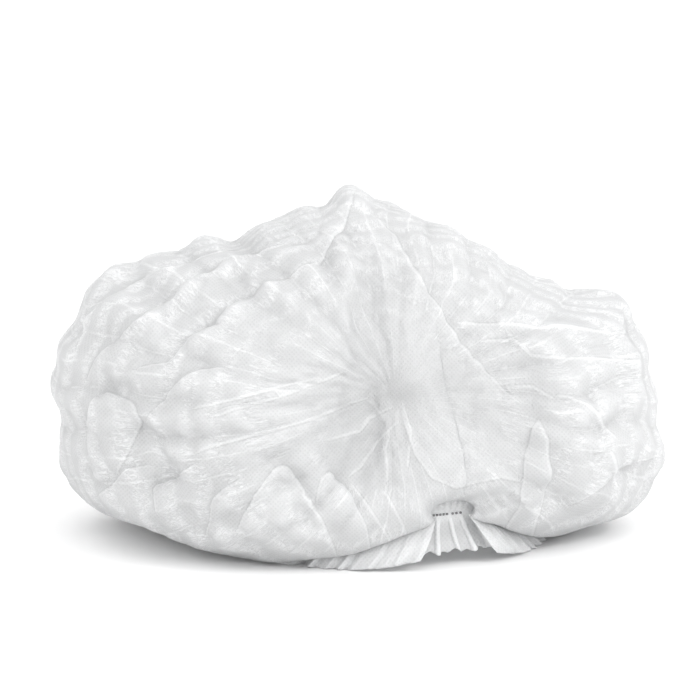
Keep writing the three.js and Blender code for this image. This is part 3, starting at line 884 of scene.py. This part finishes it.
def fold_moves(points, normals, folds, seen_from):
    """Moves of points for a table of folds, seen from the front (1) or the rear (-1), with the painted
    light and shade along the folds, and each point's distance in mm beside the nearest fold's edge.
    """
    turned = np.array([seen_from, seen_from, 1.0])
    places = photo_places(points * turned)
    facing = smooth(-normals[..., 1] * seen_from, 0.0, 0.3)
    wobble = 1 + 0.15 * hills(points, 25 * MM, 71)
    pixel = PHOTO_SCALE / MM
    raised = np.zeros(points.shape[:-1])
    lit = np.zeros(points.shape[:-1])
    from_line = np.full(points.shape[:-1], FAR_LINE)
    shifted = np.zeros(points.shape)
    for _, path, width, rise, kind in folds:
        distance, side, along, right = fold_distance(places, path)
        distance, side = distance * pixel * wobble, side * pixel
        ends = np.sqrt(np.sin(math.pi * np.clip(along, 0, 1)).clip(0))
        if kind != "ridge":
            signed = np.where(side > 0, 1, -1) * (distance + (1 - smooth(ends, 0, 0.4)) * 1.2)
            from_line = np.where(np.abs(signed) < np.abs(from_line), signed, from_line)
        if kind == "ridge":
            shape = np.exp(-(distance / width) ** 2)
            # painted shade in a hollow, painted light on a rise, by its height
            lit += rise * HOLLOW_PAINTED_SHADE * shape * ends
        elif kind == "crease":
            shape = np.exp(-distance / width)
            # painted highlight along the crease
            lit += CREASE_PAINTED_HIGHLIGHT * np.exp(-(distance / 0.9) ** 2) * ends
        else:
            fade = np.exp(-(distance / (2 * width)) ** 2)
            shape = np.where(side > 0, 1.0, 0.45) * np.tanh(side / (0.3 * width)) * fade
            lap = rise * MM * 0.45 * np.exp(-((side - 0.2 * width) / (0.4 * width)) ** 2) * fade
            shifted[..., 0] -= right[..., 0] * lap * ends * seen_from
            shifted[..., 2] += right[..., 1] * lap * ends
            # painted light on the raised side of the edge, painted shade on the lower side
            near = np.exp(-distance / np.where(side > 0, 1.6, 4.5))
            lit += EDGE_PAINTED_SHADING * np.tanh(side / 0.5) * near * ends
        raised += rise * MM * shape * ends
    from_line = np.where(facing > 0.1, from_line, FAR_LINE)
    return (normals * raised[..., None] + shifted) * facing[..., None], lit * facing, from_line


# Pieces

def even_steps(form, count_along, count_across):
    """Turns and ways across that split the crown evenly, with closer steps on the front."""
    tries = 160
    first = form.first_turn
    turns = np.linspace(first, math.pi - first, tries)
    acrosses = np.linspace(0, 1, tries)
    points, _ = form.crown(*np.meshgrid(acrosses, turns))
    steps = []
    for axis, values, count in ((0, turns, count_along), (1, acrosses, count_across)):
        gaps = np.linalg.norm(np.diff(points, axis=axis), axis=-1)
        front = np.clip(-np.take(points, range(tries - 1), axis=axis)[..., 1] / form.half[1], -1, 1)
        gaps = gaps * (1 + FRONT_STEPS * front * (axis == 0))
        usual = np.quantile(gaps, 0.8 if axis == 0 else 0.5, axis=1 - axis)
        passed = np.concatenate([[0], np.cumsum(usual + gaps.max() * 0.04)])
        steps.append(np.interp(np.linspace(0, passed[-1], count + 1), passed, values))
    return steps


FRONT_POLE = (395.0, 395.0)  # where the photograph shows the pleats running together
OVAL_STRETCH = 1.8


def panel_places(points, form, crown):
    """Where points lie among the pleats that run from the front pole round to the rear pole: how
    many pleats from the top line, how far from the front pole, and how far out from the line
    through both poles."""
    places = photo_places(points)
    miss = np.linalg.norm(places - FRONT_POLE, axis=-1) + 1e3 * (points[..., 1] > -form.half[1] * 0.2)
    front = points.reshape(-1, 3)[miss.argmin()]
    rear = front * [-1, -1, 1]
    middle = (front + rear) / 2
    axis = (rear - front) / np.linalg.norm(rear - front)
    out = points - middle
    ahead = out @ axis
    leftward = np.cross(form.up, axis)
    high, left = out @ form.up, -(out @ leftward)
    round_angle = np.arctan2(left, high)
    oval_angle = np.arctan2(left, high * OVAL_STRETCH)
    top = round_angle.shape[1] // 2
    angle = []
    for spin in (round_angle, oval_angle):
        turned = np.unwrap(spin, axis=1)
        angle.append(turned - np.rint(turned[:, top:top + 1] / (2 * math.pi)) * 2 * math.pi)
    far = np.hypot(high, left)
    passed = np.arctan2(far, -ahead) * np.linalg.norm(form.half) / math.sqrt(3)
    return (angle[0] + angle[1]) / (4 * math.pi) * crown.pleats, passed, far


# Soft noise of the crown: the size of its hills, and its seed
CROWN_NOISE = {
    "swell": (42 * MM, 5),
    "slow pleat count": (70 * MM, 11),
    "quick pleat count": (18 * MM, 15),
    "pleat height": (38 * MM, 12),
    "pucker place": (45 * MM, 13),
    "pucker height": (30 * MM, 14),
    "streaks": (11 * MM, 16),
    "crumples": (15 * MM, 21),
    "small crumples": (7 * MM, 31),
}
SWELL_HEIGHT = 0.5 * MM
POLE_CALM = 55 * MM  # round the poles, where the pleats are lower
FOLD_SHARE = 0.55
FRONT_STEPS = 0.5  # how much closer the mesh steps are on the front
KEPT_FORM = 0.85  # how much of the slow part of the simulated moves is taken back
SIMULATED_SHARE = 0.45
STARTED_BAYS = 0.6 * MM  # height of the bays between the pleats before the simulation
STAGGERS = 20  # how many times once round the puckers of neighbouring panels shift against each other
STREAK_REACH = 50 * MM
STREAK_STRETCH = 0.35  # below 1, the creases run long
CREASE_DEPTH = 0.5 * MM
# painted light on the relief's crests and painted shade in its valleys, for a relief of CREASE_DEPTH
RELIEF_PAINTED_SHADING = 0.045
# limits of the painted light and shade
PAINTED_SHADING_RANGE = (-0.25, 0.2)


def zigzag(count):
    """Straight slopes from -1 to 1 and back, once in every two counts."""
    return np.abs((count / 2 - np.floor(count / 2)) * 2 - 1) * 2 - 1


def crown_points(sizes, crown):
    """The crown's grid of points, its places among the pleats, and its layers of painted light and
    shade and of distance to the folds' edges.
    """
    form = Form(sizes)
    turns, acrosses = even_steps(form, crown.steps_along, crown.steps_across)
    across, turn = np.meshgrid(acrosses, turns)
    points, swollen = form.crown(across, turn)
    base_normals = grid_normals(points)
    loose = swollen * smooth(form.from_weld(turn), form.first_turn, form.first_turn + 0.08)
    pleat, passed, far = panel_places(points, form, crown)
    pole_fade = np.clip(far / POLE_CALM, 0, 1)
    fold_fade = smooth(form.from_weld(turn), form.first_turn, form.first_turn + 0.25) * FOLD_SHARE

    # Slow swells and the folds of the photograph, then the crumples that spare cloth settles into
    swell = hills(points, *CROWN_NOISE["swell"]) * SWELL_HEIGHT
    points = points + base_normals * (swell * loose)[..., None]
    # painted light and shade, gathered from the folds and then from the relief
    painted_shading = np.zeros(across.shape)
    line = np.full(across.shape, FAR_LINE)
    for folds, seen_from in ((FRONT_FOLDS, 1), (REAR_FOLDS, -1)):
        moves, lit, from_line = fold_moves(points, base_normals, folds, seen_from)
        points = points + moves * (loose * fold_fade)[..., None]
        painted_shading += lit * loose
        line = np.where(np.abs(from_line) < np.abs(line), from_line, line)
    bays = zigzag(pleat) * STARTED_BAYS * pole_fade * loose
    started = points + grid_normals(points) * bays[..., None]
    coarse = started[::2, ::2]
    held = np.where(loose[::2, ::2] > 0.5, crown.held_share, 1.0)
    held[:, [0, -1]] = held[[0, -1]] = 1.0
    moved = crumpled(coarse, held, crown) - coarse
    moved = SIMULATED_SHARE * blurred(moved - KEPT_FORM * blurred(moved, 30), 2)
    points = started + finer(moved, *points.shape[:2])

    # Pleat panels that meet in sharp crests and valleys, pillowed by puckers across them
    normals = grid_normals(points)
    pleat = pleat + 0.35 * hills(points, *CROWN_NOISE["slow pleat count"])
    pleat = pleat + 0.05 * hills(points, *CROWN_NOISE["quick pleat count"])
    strength = np.clip(0.8 + 0.5 * hills(points, *CROWN_NOISE["pleat height"]), 0.2, 1.4)
    bay = np.floor(pleat)
    stagger = np.sin(bay * 2 * math.pi * STAGGERS / crown.pleats)
    uneven = 0.3 * hills(points, *CROWN_NOISE["pucker place"])
    pucker = passed / crown.pucker_pitch + uneven + 0.14 * stagger
    pillow = 0.35 + 0.65 * np.sqrt(np.abs(np.sin(math.pi * (pleat - bay))))
    pillow = pillow * (0.5 + 0.5 * np.sin(2 * math.pi * pucker))
    wide = np.clip(0.75 + 0.6 * hills(points, *CROWN_NOISE["pucker height"]), 0.05, 1.5)
    spin = pleat * 2 * math.pi / crown.pleats
    ring = np.cos(spin) * STREAK_REACH, np.sin(spin) * STREAK_REACH
    sliding = np.stack([*ring, passed * STREAK_STRETCH], axis=-1)
    streaks = creased(sliding, *CROWN_NOISE["streaks"])
    relief = zigzag(pleat) * crown.pleat_depth / 2 * strength
    relief = relief + pillow * crown.pucker_depth * wide + streaks * crown.streak_depth
    relief = relief * pole_fade * loose
    points = points + normals * relief[..., None]

    # Small crumples
    normals = grid_normals(points)
    small = creased(points, *CROWN_NOISE["crumples"])
    small = small + creased(points, *CROWN_NOISE["small crumples"]) * 0.5
    small = small * crown.crumple_depth * loose
    points = points + normals * small[..., None]
    points[..., 2] = np.maximum(points[..., 2], crown.thickness)
    raised = relief + small
    # the relief's crests painted lighter and its valleys darker: painted light and shade
    painted_shading += (raised - blurred(raised, 4)) / CREASE_DEPTH * RELIEF_PAINTED_SHADING
    layers = {"PaintedShading": np.clip(painted_shading, *PAINTED_SHADING_RANGE), "Line": line}
    return points, np.stack([pleat, pucker], axis=-1), layers


def blurred(grid, rounds):
    """A grid of values, softened; its border keeps its values."""
    soft = grid.copy()
    for _ in range(rounds):
        inner = (soft[:-2, 1:-1] + soft[2:, 1:-1] + soft[1:-1, :-2] + soft[1:-1, 2:]) / 4
        soft[1:-1, 1:-1] = inner
    return soft


def dress(obj, node, material):
    """A new piece stands for a node of the frame."""
    obj.data.materials.append(material)
    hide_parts(node)
    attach(obj, "root")


class HAIRCAP_OT_crown(bpy.types.Operator):
    """Adds the puffed crown: one pleated sheet between the welds and the elastic"""

    bl_idname = "haircap.crown"
    bl_label = "Crown"

    def execute(self, context):
        scene = context.scene
        points, panels, layers = crown_points(scene.cap_sizes, scene.crown_sizes)
        obj = grid_mesh("crown_sheet", points, panels, layers)
        give_thickness(obj, scene.crown_sizes.thickness)
        material = shared_material("nonwoven_cloth", cloth_material, scene.cap_looks.cloth)
        dress(obj, "crown", material)
        return {"FINISHED"}


FRILL_END_SPAN = math.radians(32)  # how far from a weld the frill stands out more
FRILL_CALM = (0.3, 0.3, 1.0)  # share of the ruffles beside a weld, and the turns from which they grow
FRILL_RUN = 300 * MM  # along one frill, for its noise
FRILL_APART = 70 * MM  # from the middle to each side, for its noise
FRILL_CALM_END = 0.04  # share of the frill's run over which its ruffles die out at each end
SECOND_WAVE = (0.35, 2.3)  # height and count, in shares of the first wave's
FRILL_OVERLAP = 0.2 * MM  # its head below the crown's edge
FRILL_CRUMPLE = 0.25 * MM
# painted light over the whole frill, which stands in the crown's shade
FRILL_PAINTED_LIGHT = 0.08
# painted light on the ruffles' crests and painted shade in their troughs
RUFFLE_PAINTED_SHADING = 0.04


def frill_points(form, side, edge):
    """The ruffled edge below the elastic on one side."""
    rows, columns = edge.frill_rows, edge.frill_steps
    down = np.linspace(0, 1, rows + 1)[:, None]
    share = np.linspace(0, 1, columns + 1)[None, :]
    first = form.first_turn + (form.frill_turn - form.first_turn) * down
    turn = first + (math.pi - 2 * first) * share
    flat = np.stack([share[0] * FRILL_RUN, np.full(columns + 1, side * FRILL_APART)], axis=-1)
    gathers = share[0] * edge.ruffles + 0.5 * hills(flat, 26 * MM, 40 + side)
    calm = smooth(share[0], 0.0, FRILL_CALM_END) * smooth(1 - share[0], 0.0, FRILL_CALM_END)
    least, start, end = FRILL_CALM
    calm = calm * (least + (1 - least) * smooth(form.from_weld(turn[0]), start, end))
    size = np.clip(0.8 + 0.6 * hills(flat, 17 * MM, 44 + side), 0.2, 1.5) * calm
    low, often = SECOND_WAVE
    wave = np.sin(2 * math.pi * gathers) + low * np.sin(2 * math.pi * gathers * often + 1.0)
    opened = down ** edge.frill_curve
    beside_weld = np.exp(-(form.from_weld(turn) / FRILL_END_SPAN) ** 2)
    flare = edge.frill_flare + edge.frill_end_flare * beside_weld
    out = (flare + edge.ruffle_depth * wave * size) * opened - edge.frill_wall / 2
    leaned = turn + np.cos(2 * math.pi * gathers) * size * opened * edge.ruffle_lean
    point = form.neck(leaned, side, out)
    top = form.neck_height(turn) - FRILL_OVERLAP
    foot = form.foot_height(turn) + np.clip(wave, 0, 2) * size * edge.ruffle_rise
    point[..., 2] = top + (foot - top) * down
    fine = creased(point, 6 * MM, 52) * FRILL_CRUMPLE * opened
    point = point + grid_normals(point) * fine[..., None]
    point[..., 2] = np.maximum(point[..., 2], edge.frill_thickness)
    panels = np.stack(np.broadcast_arrays(gathers * 0.5, down * 1.5), axis=-1)
    # the frill painted lighter against the crown's shade, with painted light and shade on its ruffles
    painted_shading = FRILL_PAINTED_LIGHT + RUFFLE_PAINTED_SHADING * wave * opened * size
    return point, panels, {"PaintedShading": painted_shading, "Line": np.full(painted_shading.shape, FAR_LINE)}


class HAIRCAP_OT_frills(bpy.types.Operator):
    """Adds the two ruffled edges below the elastic"""

    bl_idname = "haircap.frills"
    bl_label = "Frills"

    def execute(self, context):
        scene = context.scene
        form = Form(scene.cap_sizes)
        material = shared_material("edge_nonwoven", cloth_material, scene.cap_looks.cloth)
        for node, side in (("frill_left", 1), ("frill_right", -1)):
            points, panels, layers = frill_points(form, side, scene.edge_sizes)
            obj = grid_mesh(node + "_cloth", points, panels, layers)
            give_thickness(obj, scene.edge_sizes.frill_thickness)
            dress(obj, node, material)
        return {"FINISHED"}


CORD_GAP = 0.3 * MM  # between the frill's wall and the cord
CORD_WAVE = 0.15 * MM  # inwards
CORD_DROP = 0.5 * MM  # below the neck
CORD_SAG = 0.3 * MM
CORD_RUN = 80  # mm of cord to a radian of turn, for its noise and its maps
CORD_APART = 50.0  # mm from the middle to each side, for its noise
STRANDS = 3
STRAND_HEIGHT = 0.07  # in shares of the cord's radius
STRAND_TWIST = 90  # to a radian of turn


def cord_points(form, side, sizes, edge):
    """A round covered cord along the neck, a little wavy where the loose elastic gathers it."""
    count, around = edge.cord_steps, edge.cord_sides
    first = math.asin((edge.tab_foot_half + 2 * edge.cord_radius) / (sizes.neck_width / 2))
    turn = np.linspace(first, math.pi - first, count + 1)
    flat = np.stack([turn * CORD_RUN, np.full(count + 1, side * CORD_APART)], axis=-1) * MM
    uneven = CORD_WAVE * (1 + hills(flat, 12 * MM, 61))
    inset = edge.frill_wall + CORD_GAP + edge.cord_radius + uneven
    middle = form.neck(turn, side, -inset)
    middle[:, 2] -= CORD_DROP + 2 * edge.cord_radius - CORD_SAG * hills(flat, 16 * MM, 62)
    onward = np.gradient(middle, axis=0)
    onward /= np.linalg.norm(onward, axis=-1)[:, None]
    level = np.cross(onward, form.up)
    level /= np.linalg.norm(level, axis=-1)[:, None]
    raised = np.cross(level, onward)
    angle = np.linspace(0, 2 * math.pi, around + 1)
    strands = 1 + STRAND_HEIGHT * np.cos(STRANDS * angle[None, :] + turn[:, None] * STRAND_TWIST)
    cosine, sine = np.cos(angle)[None, :, None], np.sin(angle)[None, :, None]
    ring = cosine * level[:, None] + sine * raised[:, None]
    points = middle[:, None] + ring * (strands * edge.cord_radius)[..., None]
    return points, np.stack(np.broadcast_arrays(turn[:, None] * CORD_RUN, angle[None, :]), axis=-1)


class HAIRCAP_OT_elastic(bpy.types.Operator):
    """Adds the two elastic strands that draw in the neck"""

    bl_idname = "haircap.elastic"
    bl_label = "Elastic"

    def execute(self, context):
        scene = context.scene
        form = Form(scene.cap_sizes)
        material = shared_material("covered_elastic", elastic_material, scene.cap_looks.elastic)
        for node, side in (("elastic_left", 1), ("elastic_right", -1)):
            points, panels = cord_points(form, side, scene.cap_sizes, scene.edge_sizes)
            obj = grid_mesh(node + "_cord", points, panels, {}, closed=True)
            dress(obj, node, material)
        return {"FINISHED"}


# Ridges of the pleated tab, painted lighter than its see-through panels, which carry painted shade.
# Columns: place at the foot and at the weld, in shares of half the tab's width, and width in mm.
TAB_RIDGES = (
    (-0.98, -0.98, 2.0),
    (-0.76, -0.72, 1.7),
    (-0.36, -0.34, 1.7),
    (0.14, 0.10, 1.5),
    (0.56, 0.50, 1.7),
    (0.98, 0.98, 2.2),
)
TAB_LEAN = 5 * MM  # how far the tab's foot stands ahead of the weld
TAB_INSET = 0.9 * MM  # its face behind the frill's end
TAB_HEAD_LEAN = 1.2 * MM  # how far its head leans back under the crown
WAIST_SPAN = 2.2 * MM  # above and below the weld row, where the pleats are pressed flat
WAIST_DEPTH = 0.3 * MM
TAB_RAGGED = ((0.5 * MM, 21.0), (0.4 * MM, 9.0))  # height and count of the waves of its torn foot
TAB_CRUMPLE = 0.12 * MM
HEAD_GATHERS = 4.5
# painted light over the whole tab, which stands in shade under the crown
TAB_PAINTED_LIGHT = 0.15
TAB_PAINTED_SHADE = 0.17  # painted shade: how much darker the single layer between the ridges is painted, where the shaded inside shows through it
# Weld points along the weld row, in shares of half the weld row.
WELD_POINTS = (-0.94, -0.72, -0.5, -0.27, -0.05, 0.34, 0.6, 0.88)


def tab_points(form, end, sizes, edge):
    """A tab of pleats below and behind the weld at one end."""
    half = form.half_widths(edge)
    head = sizes.weld_height + edge.tab_rise
    height = np.linspace(edge.tab_foot, head, edge.tab_rows + 1)[:, None]
    share = np.linspace(-1, 1, edge.tab_columns + 1)[None, :]
    wide = np.interp(height, *half)
    waist = np.exp(-((height - edge.weld_row) / WAIST_SPAN) ** 2)
    lift = np.clip((edge.weld_row - height) / (edge.weld_row - edge.tab_foot), 0, 1)
    ridge = np.zeros(np.broadcast_shapes(height.shape, share.shape))
    for at_foot, at_weld, width in TAB_RIDGES:
        place = (at_weld + (at_foot - at_weld) * lift) * wide
        near = np.abs(share * wide - place) / (width * MM / 2)
        ridge = np.maximum(ridge, 1 - smooth(near, 0.55, 1.5))
    gather = 0.5 + 0.5 * np.cos(2 * math.pi * share * HEAD_GATHERS + 3 * lift)
    ridge = np.where(height > edge.weld_row, gather * 0.6 + 0.2, ridge)
    depth = edge.tab_depth * (0.25 + 0.75 * lift) * (1 - 0.9 * waist)
    face = math.cos(form.frill_turn) * (sizes.neck_length / 2 - edge.frill_wall) - TAB_INSET
    ahead = face - depth * (1 - ridge) - WAIST_DEPTH * waist
    ahead = ahead + TAB_LEAN * lift ** 1.5
    ahead = ahead - TAB_HEAD_LEAN * smooth(height, sizes.weld_height, head)
    point = (end * ahead)[..., None] * form.to_front - (end * share * wide)[..., None] * form.to_left
    point[..., :2] += form.middle[:2]
    (quick, quick_count), (slow, slow_count) = TAB_RAGGED
    ragged = quick * np.sin(share * quick_count) + slow * np.sin(share * slow_count + end)
    point[..., 2] = height + ragged * (1 - smooth(height, edge.tab_foot, edge.tab_foot + 5 * MM))
    point = point + grid_normals(point) * (creased(point, 5 * MM, 81) * TAB_CRUMPLE)[..., None]
    point[..., 2] = np.maximum(point[..., 2], edge.frill_thickness)
    # the tab painted lighter against its shade, and its panels between the ridges painted darker as
    # painted shade
    painted_shading = TAB_PAINTED_LIGHT + (ridge - 1) * TAB_PAINTED_SHADE * (1 - waist)
    panels = np.stack(np.broadcast_arrays(share * 1.1, height / (8 * MM)), axis=-1)
    return point, panels, {"PaintedShading": painted_shading, "Line": np.full(painted_shading.shape, FAR_LINE)}, face


class HAIRCAP_OT_tabs(bpy.types.Operator):
    """Adds the pleated tabs behind the welds, with their rows of weld points"""

    bl_idname = "haircap.tabs"
    bl_label = "Tabs"

    def execute(self, context):
        scene = context.scene
        sizes, edge = scene.cap_sizes, scene.edge_sizes
        form = Form(sizes)
        cloth = shared_material("edge_nonwoven", cloth_material, scene.cap_looks.cloth)
        fused = shared_material("weld_film", weld_material, scene.cap_looks.cloth)
        for node, end in (("pleat_tab_front", 1), ("pleat_tab_rear", -1)):
            points, panels, layers, face = tab_points(form, end, sizes, edge)
            obj = grid_mesh(node + "_cloth", points, panels, layers)
            give_thickness(obj, edge.frill_thickness)
            dress(obj, node, cloth)
            for number, share in enumerate(WELD_POINTS):
                place = form.to_front * (end * (face + 0.1 * MM))
                place = place - form.to_left * (end * share * edge.weld_half)
                place[:2] += form.middle[:2]
                place[2] = edge.weld_row
                dot = weld_point(f"{node}_weld_{number + 1}", place, form.to_front, edge)
                dot.data.materials.append(fused)
                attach(dot, "root")
        return {"FINISHED"}


def weld_point(name, place, forward, edge):
    """A small flattened pad of fused cloth."""
    work = bmesh.new()
    bmesh.ops.create_uvsphere(work, u_segments=16, v_segments=10, radius=1.0)
    facing = Vector(forward).to_track_quat("Z", "Y").to_matrix().to_4x4()
    shape = Matrix.Diagonal((edge.weld_wide / 2, edge.weld_tall / 2, edge.weld_thick / 2, 1))
    bmesh.ops.transform(work, matrix=Matrix.Translation(place) @ facing @ shape, verts=work.verts)
    mesh = bpy.data.meshes.new(name)
    work.to_mesh(mesh)
    work.free()
    mesh.polygons.foreach_set("use_smooth", np.ones(len(mesh.polygons), bool))
    obj = bpy.data.objects.new(name, mesh)
    bpy.context.scene.collection.objects.link(obj)
    return obj


# Soft lights of the studio. Columns: name, direction, strength, and how narrow.
STUDIO_LIGHTS = (
    ("right", (0.82, -0.35, 0.45), 0.36, 2.0),
    ("top", (0.0, -0.1, 1.0), 0.1, 2.0),
    ("backdrop", (0.0, 1.0, 0.05), 0.2, 0.6),
    ("front", (-0.2, -1.0, 0.05), 0.35, 1.0),
)
STUDIO_EVEN = 1.12
KEY_LIGHT_PLACE = Vector((1.1, -0.75, 1.0))
KEY_LIGHT_AIM = Vector((0, 0, 0.06))
KEY_LIGHT_SIZE = 0.3
KEY_LIGHT_POWER = 4.5  # in watts
FLOOR_HALF = 6.0
SENSOR = 36.0  # in mm


def studio_light(world):
    """A white studio: even all round, with broad soft lights at the right, top, back and front."""
    tree = world.node_tree
    tree.nodes.clear()
    build = Build.on(tree)
    heading = build.node("ShaderNodeTexCoord", {}, out=0)
    strength = build.node("ShaderNodeValue", {})
    strength.socket.default_value = STUDIO_EVEN
    for _, direction, power, narrow in STUDIO_LIGHTS:
        toward = tuple(Vector(direction).normalized())
        facing = build.node(
            "ShaderNodeVectorMath", {"operation": "DOT_PRODUCT"}, heading, toward, out=1,
        )
        facing = build.node("ShaderNodeMath", {"operation": "MAXIMUM"}, facing, 0.0)
        strength = strength + facing ** narrow * power
    sky = build.node("ShaderNodeBackground", {}, (1, 1, 1, 1), strength)
    out = tree.nodes.new("ShaderNodeOutputWorld")
    tree.links.new(sky.socket, out.inputs["Surface"])


class HAIRCAP_OT_stage(bpy.types.Operator):
    """Adds the pale floor, the soft light and the camera"""

    bl_idname = "haircap.stage"
    bl_label = "Stage"

    def execute(self, context):
        scene = context.scene
        work = bmesh.new()
        bmesh.ops.create_grid(work, x_segments=1, y_segments=1, size=FLOOR_HALF)
        mesh = bpy.data.meshes.new("floor")
        work.to_mesh(mesh)
        work.free()
        floor = bpy.data.objects.new("floor", mesh)
        scene.collection.objects.link(floor)
        mesh.materials.append(floor_material("pale_floor", scene.cap_looks.floor))

        world = bpy.data.worlds.new("studio")
        scene.world = world
        world.use_nodes = True
        studio_light(world)
        lamp = bpy.data.lights.new("key_light", "AREA")
        lamp.shape = "DISK"
        lamp.size = KEY_LIGHT_SIZE
        lamp.energy = KEY_LIGHT_POWER
        light = bpy.data.objects.new("key_light", lamp)
        light.location = KEY_LIGHT_PLACE
        light.rotation_euler = (KEY_LIGHT_AIM - KEY_LIGHT_PLACE).to_track_quat("-Z", "Y").to_euler()
        scene.collection.objects.link(light)

        lens = bpy.data.cameras.new("camera")
        lens.sensor_width = SENSOR
        lens.lens = SENSOR * VIEW_DISTANCE / (PHOTO_SCALE * PHOTO_WIDTH)
        camera = bpy.data.objects.new("camera", lens)
        back = Vector((0, -math.cos(VIEW_ELEVATION), math.sin(VIEW_ELEVATION)))
        camera.location = VIEW_TARGET + back * VIEW_DISTANCE
        camera.rotation_euler = (-back).to_track_quat("-Z", "Y").to_euler()
        scene.collection.objects.link(camera)
        scene.camera = camera
        scene.view_settings.view_transform = "Standard"
        return {"FINISHED"}


class HAIRCAP_PT_panel(bpy.types.Panel):
    """Lists the cap's sizes and pieces"""

    bl_idname = "HAIRCAP_PT_panel"
    bl_label = "Hair Cap"
    bl_space_type = "VIEW_3D"
    bl_region_type = "UI"
    bl_category = "Hair Cap"

    def draw(self, context):
        layout = self.layout
        for name, kind in GROUPS:
            box = layout.box()
            for key in kind.__annotations__:
                box.prop(getattr(context.scene, name), key)
        for piece in PIECES:
            layout.operator(piece.bl_idname)


GROUPS = (
    ("cap_sizes", CapSizes),
    ("crown_sizes", CrownSizes),
    ("edge_sizes", EdgeSizes),
    ("cap_looks", CapLooks),
)
PIECES = (HAIRCAP_OT_crown, HAIRCAP_OT_frills, HAIRCAP_OT_elastic, HAIRCAP_OT_tabs, HAIRCAP_OT_stage)


def register():
    for key, group in GROUPS:
        bpy.utils.register_class(group)
        setattr(bpy.types.Scene, key, PointerProperty(type=group))
    for piece in PIECES:
        bpy.utils.register_class(piece)
    bpy.utils.register_class(HAIRCAP_PT_panel)


def unregister():
    bpy.utils.unregister_class(HAIRCAP_PT_panel)
    for piece in reversed(PIECES):
        bpy.utils.unregister_class(piece)
    for key, group in reversed(GROUPS):
        delattr(bpy.types.Scene, key)
        bpy.utils.unregister_class(group)


def main():
    register()
    bpy.ops.haircap.stage()
    bpy.ops.haircap.frills()
    bpy.ops.haircap.elastic()
    bpy.ops.haircap.tabs()
    bpy.ops.haircap.crown()


if __name__ == "__main__":
    main()
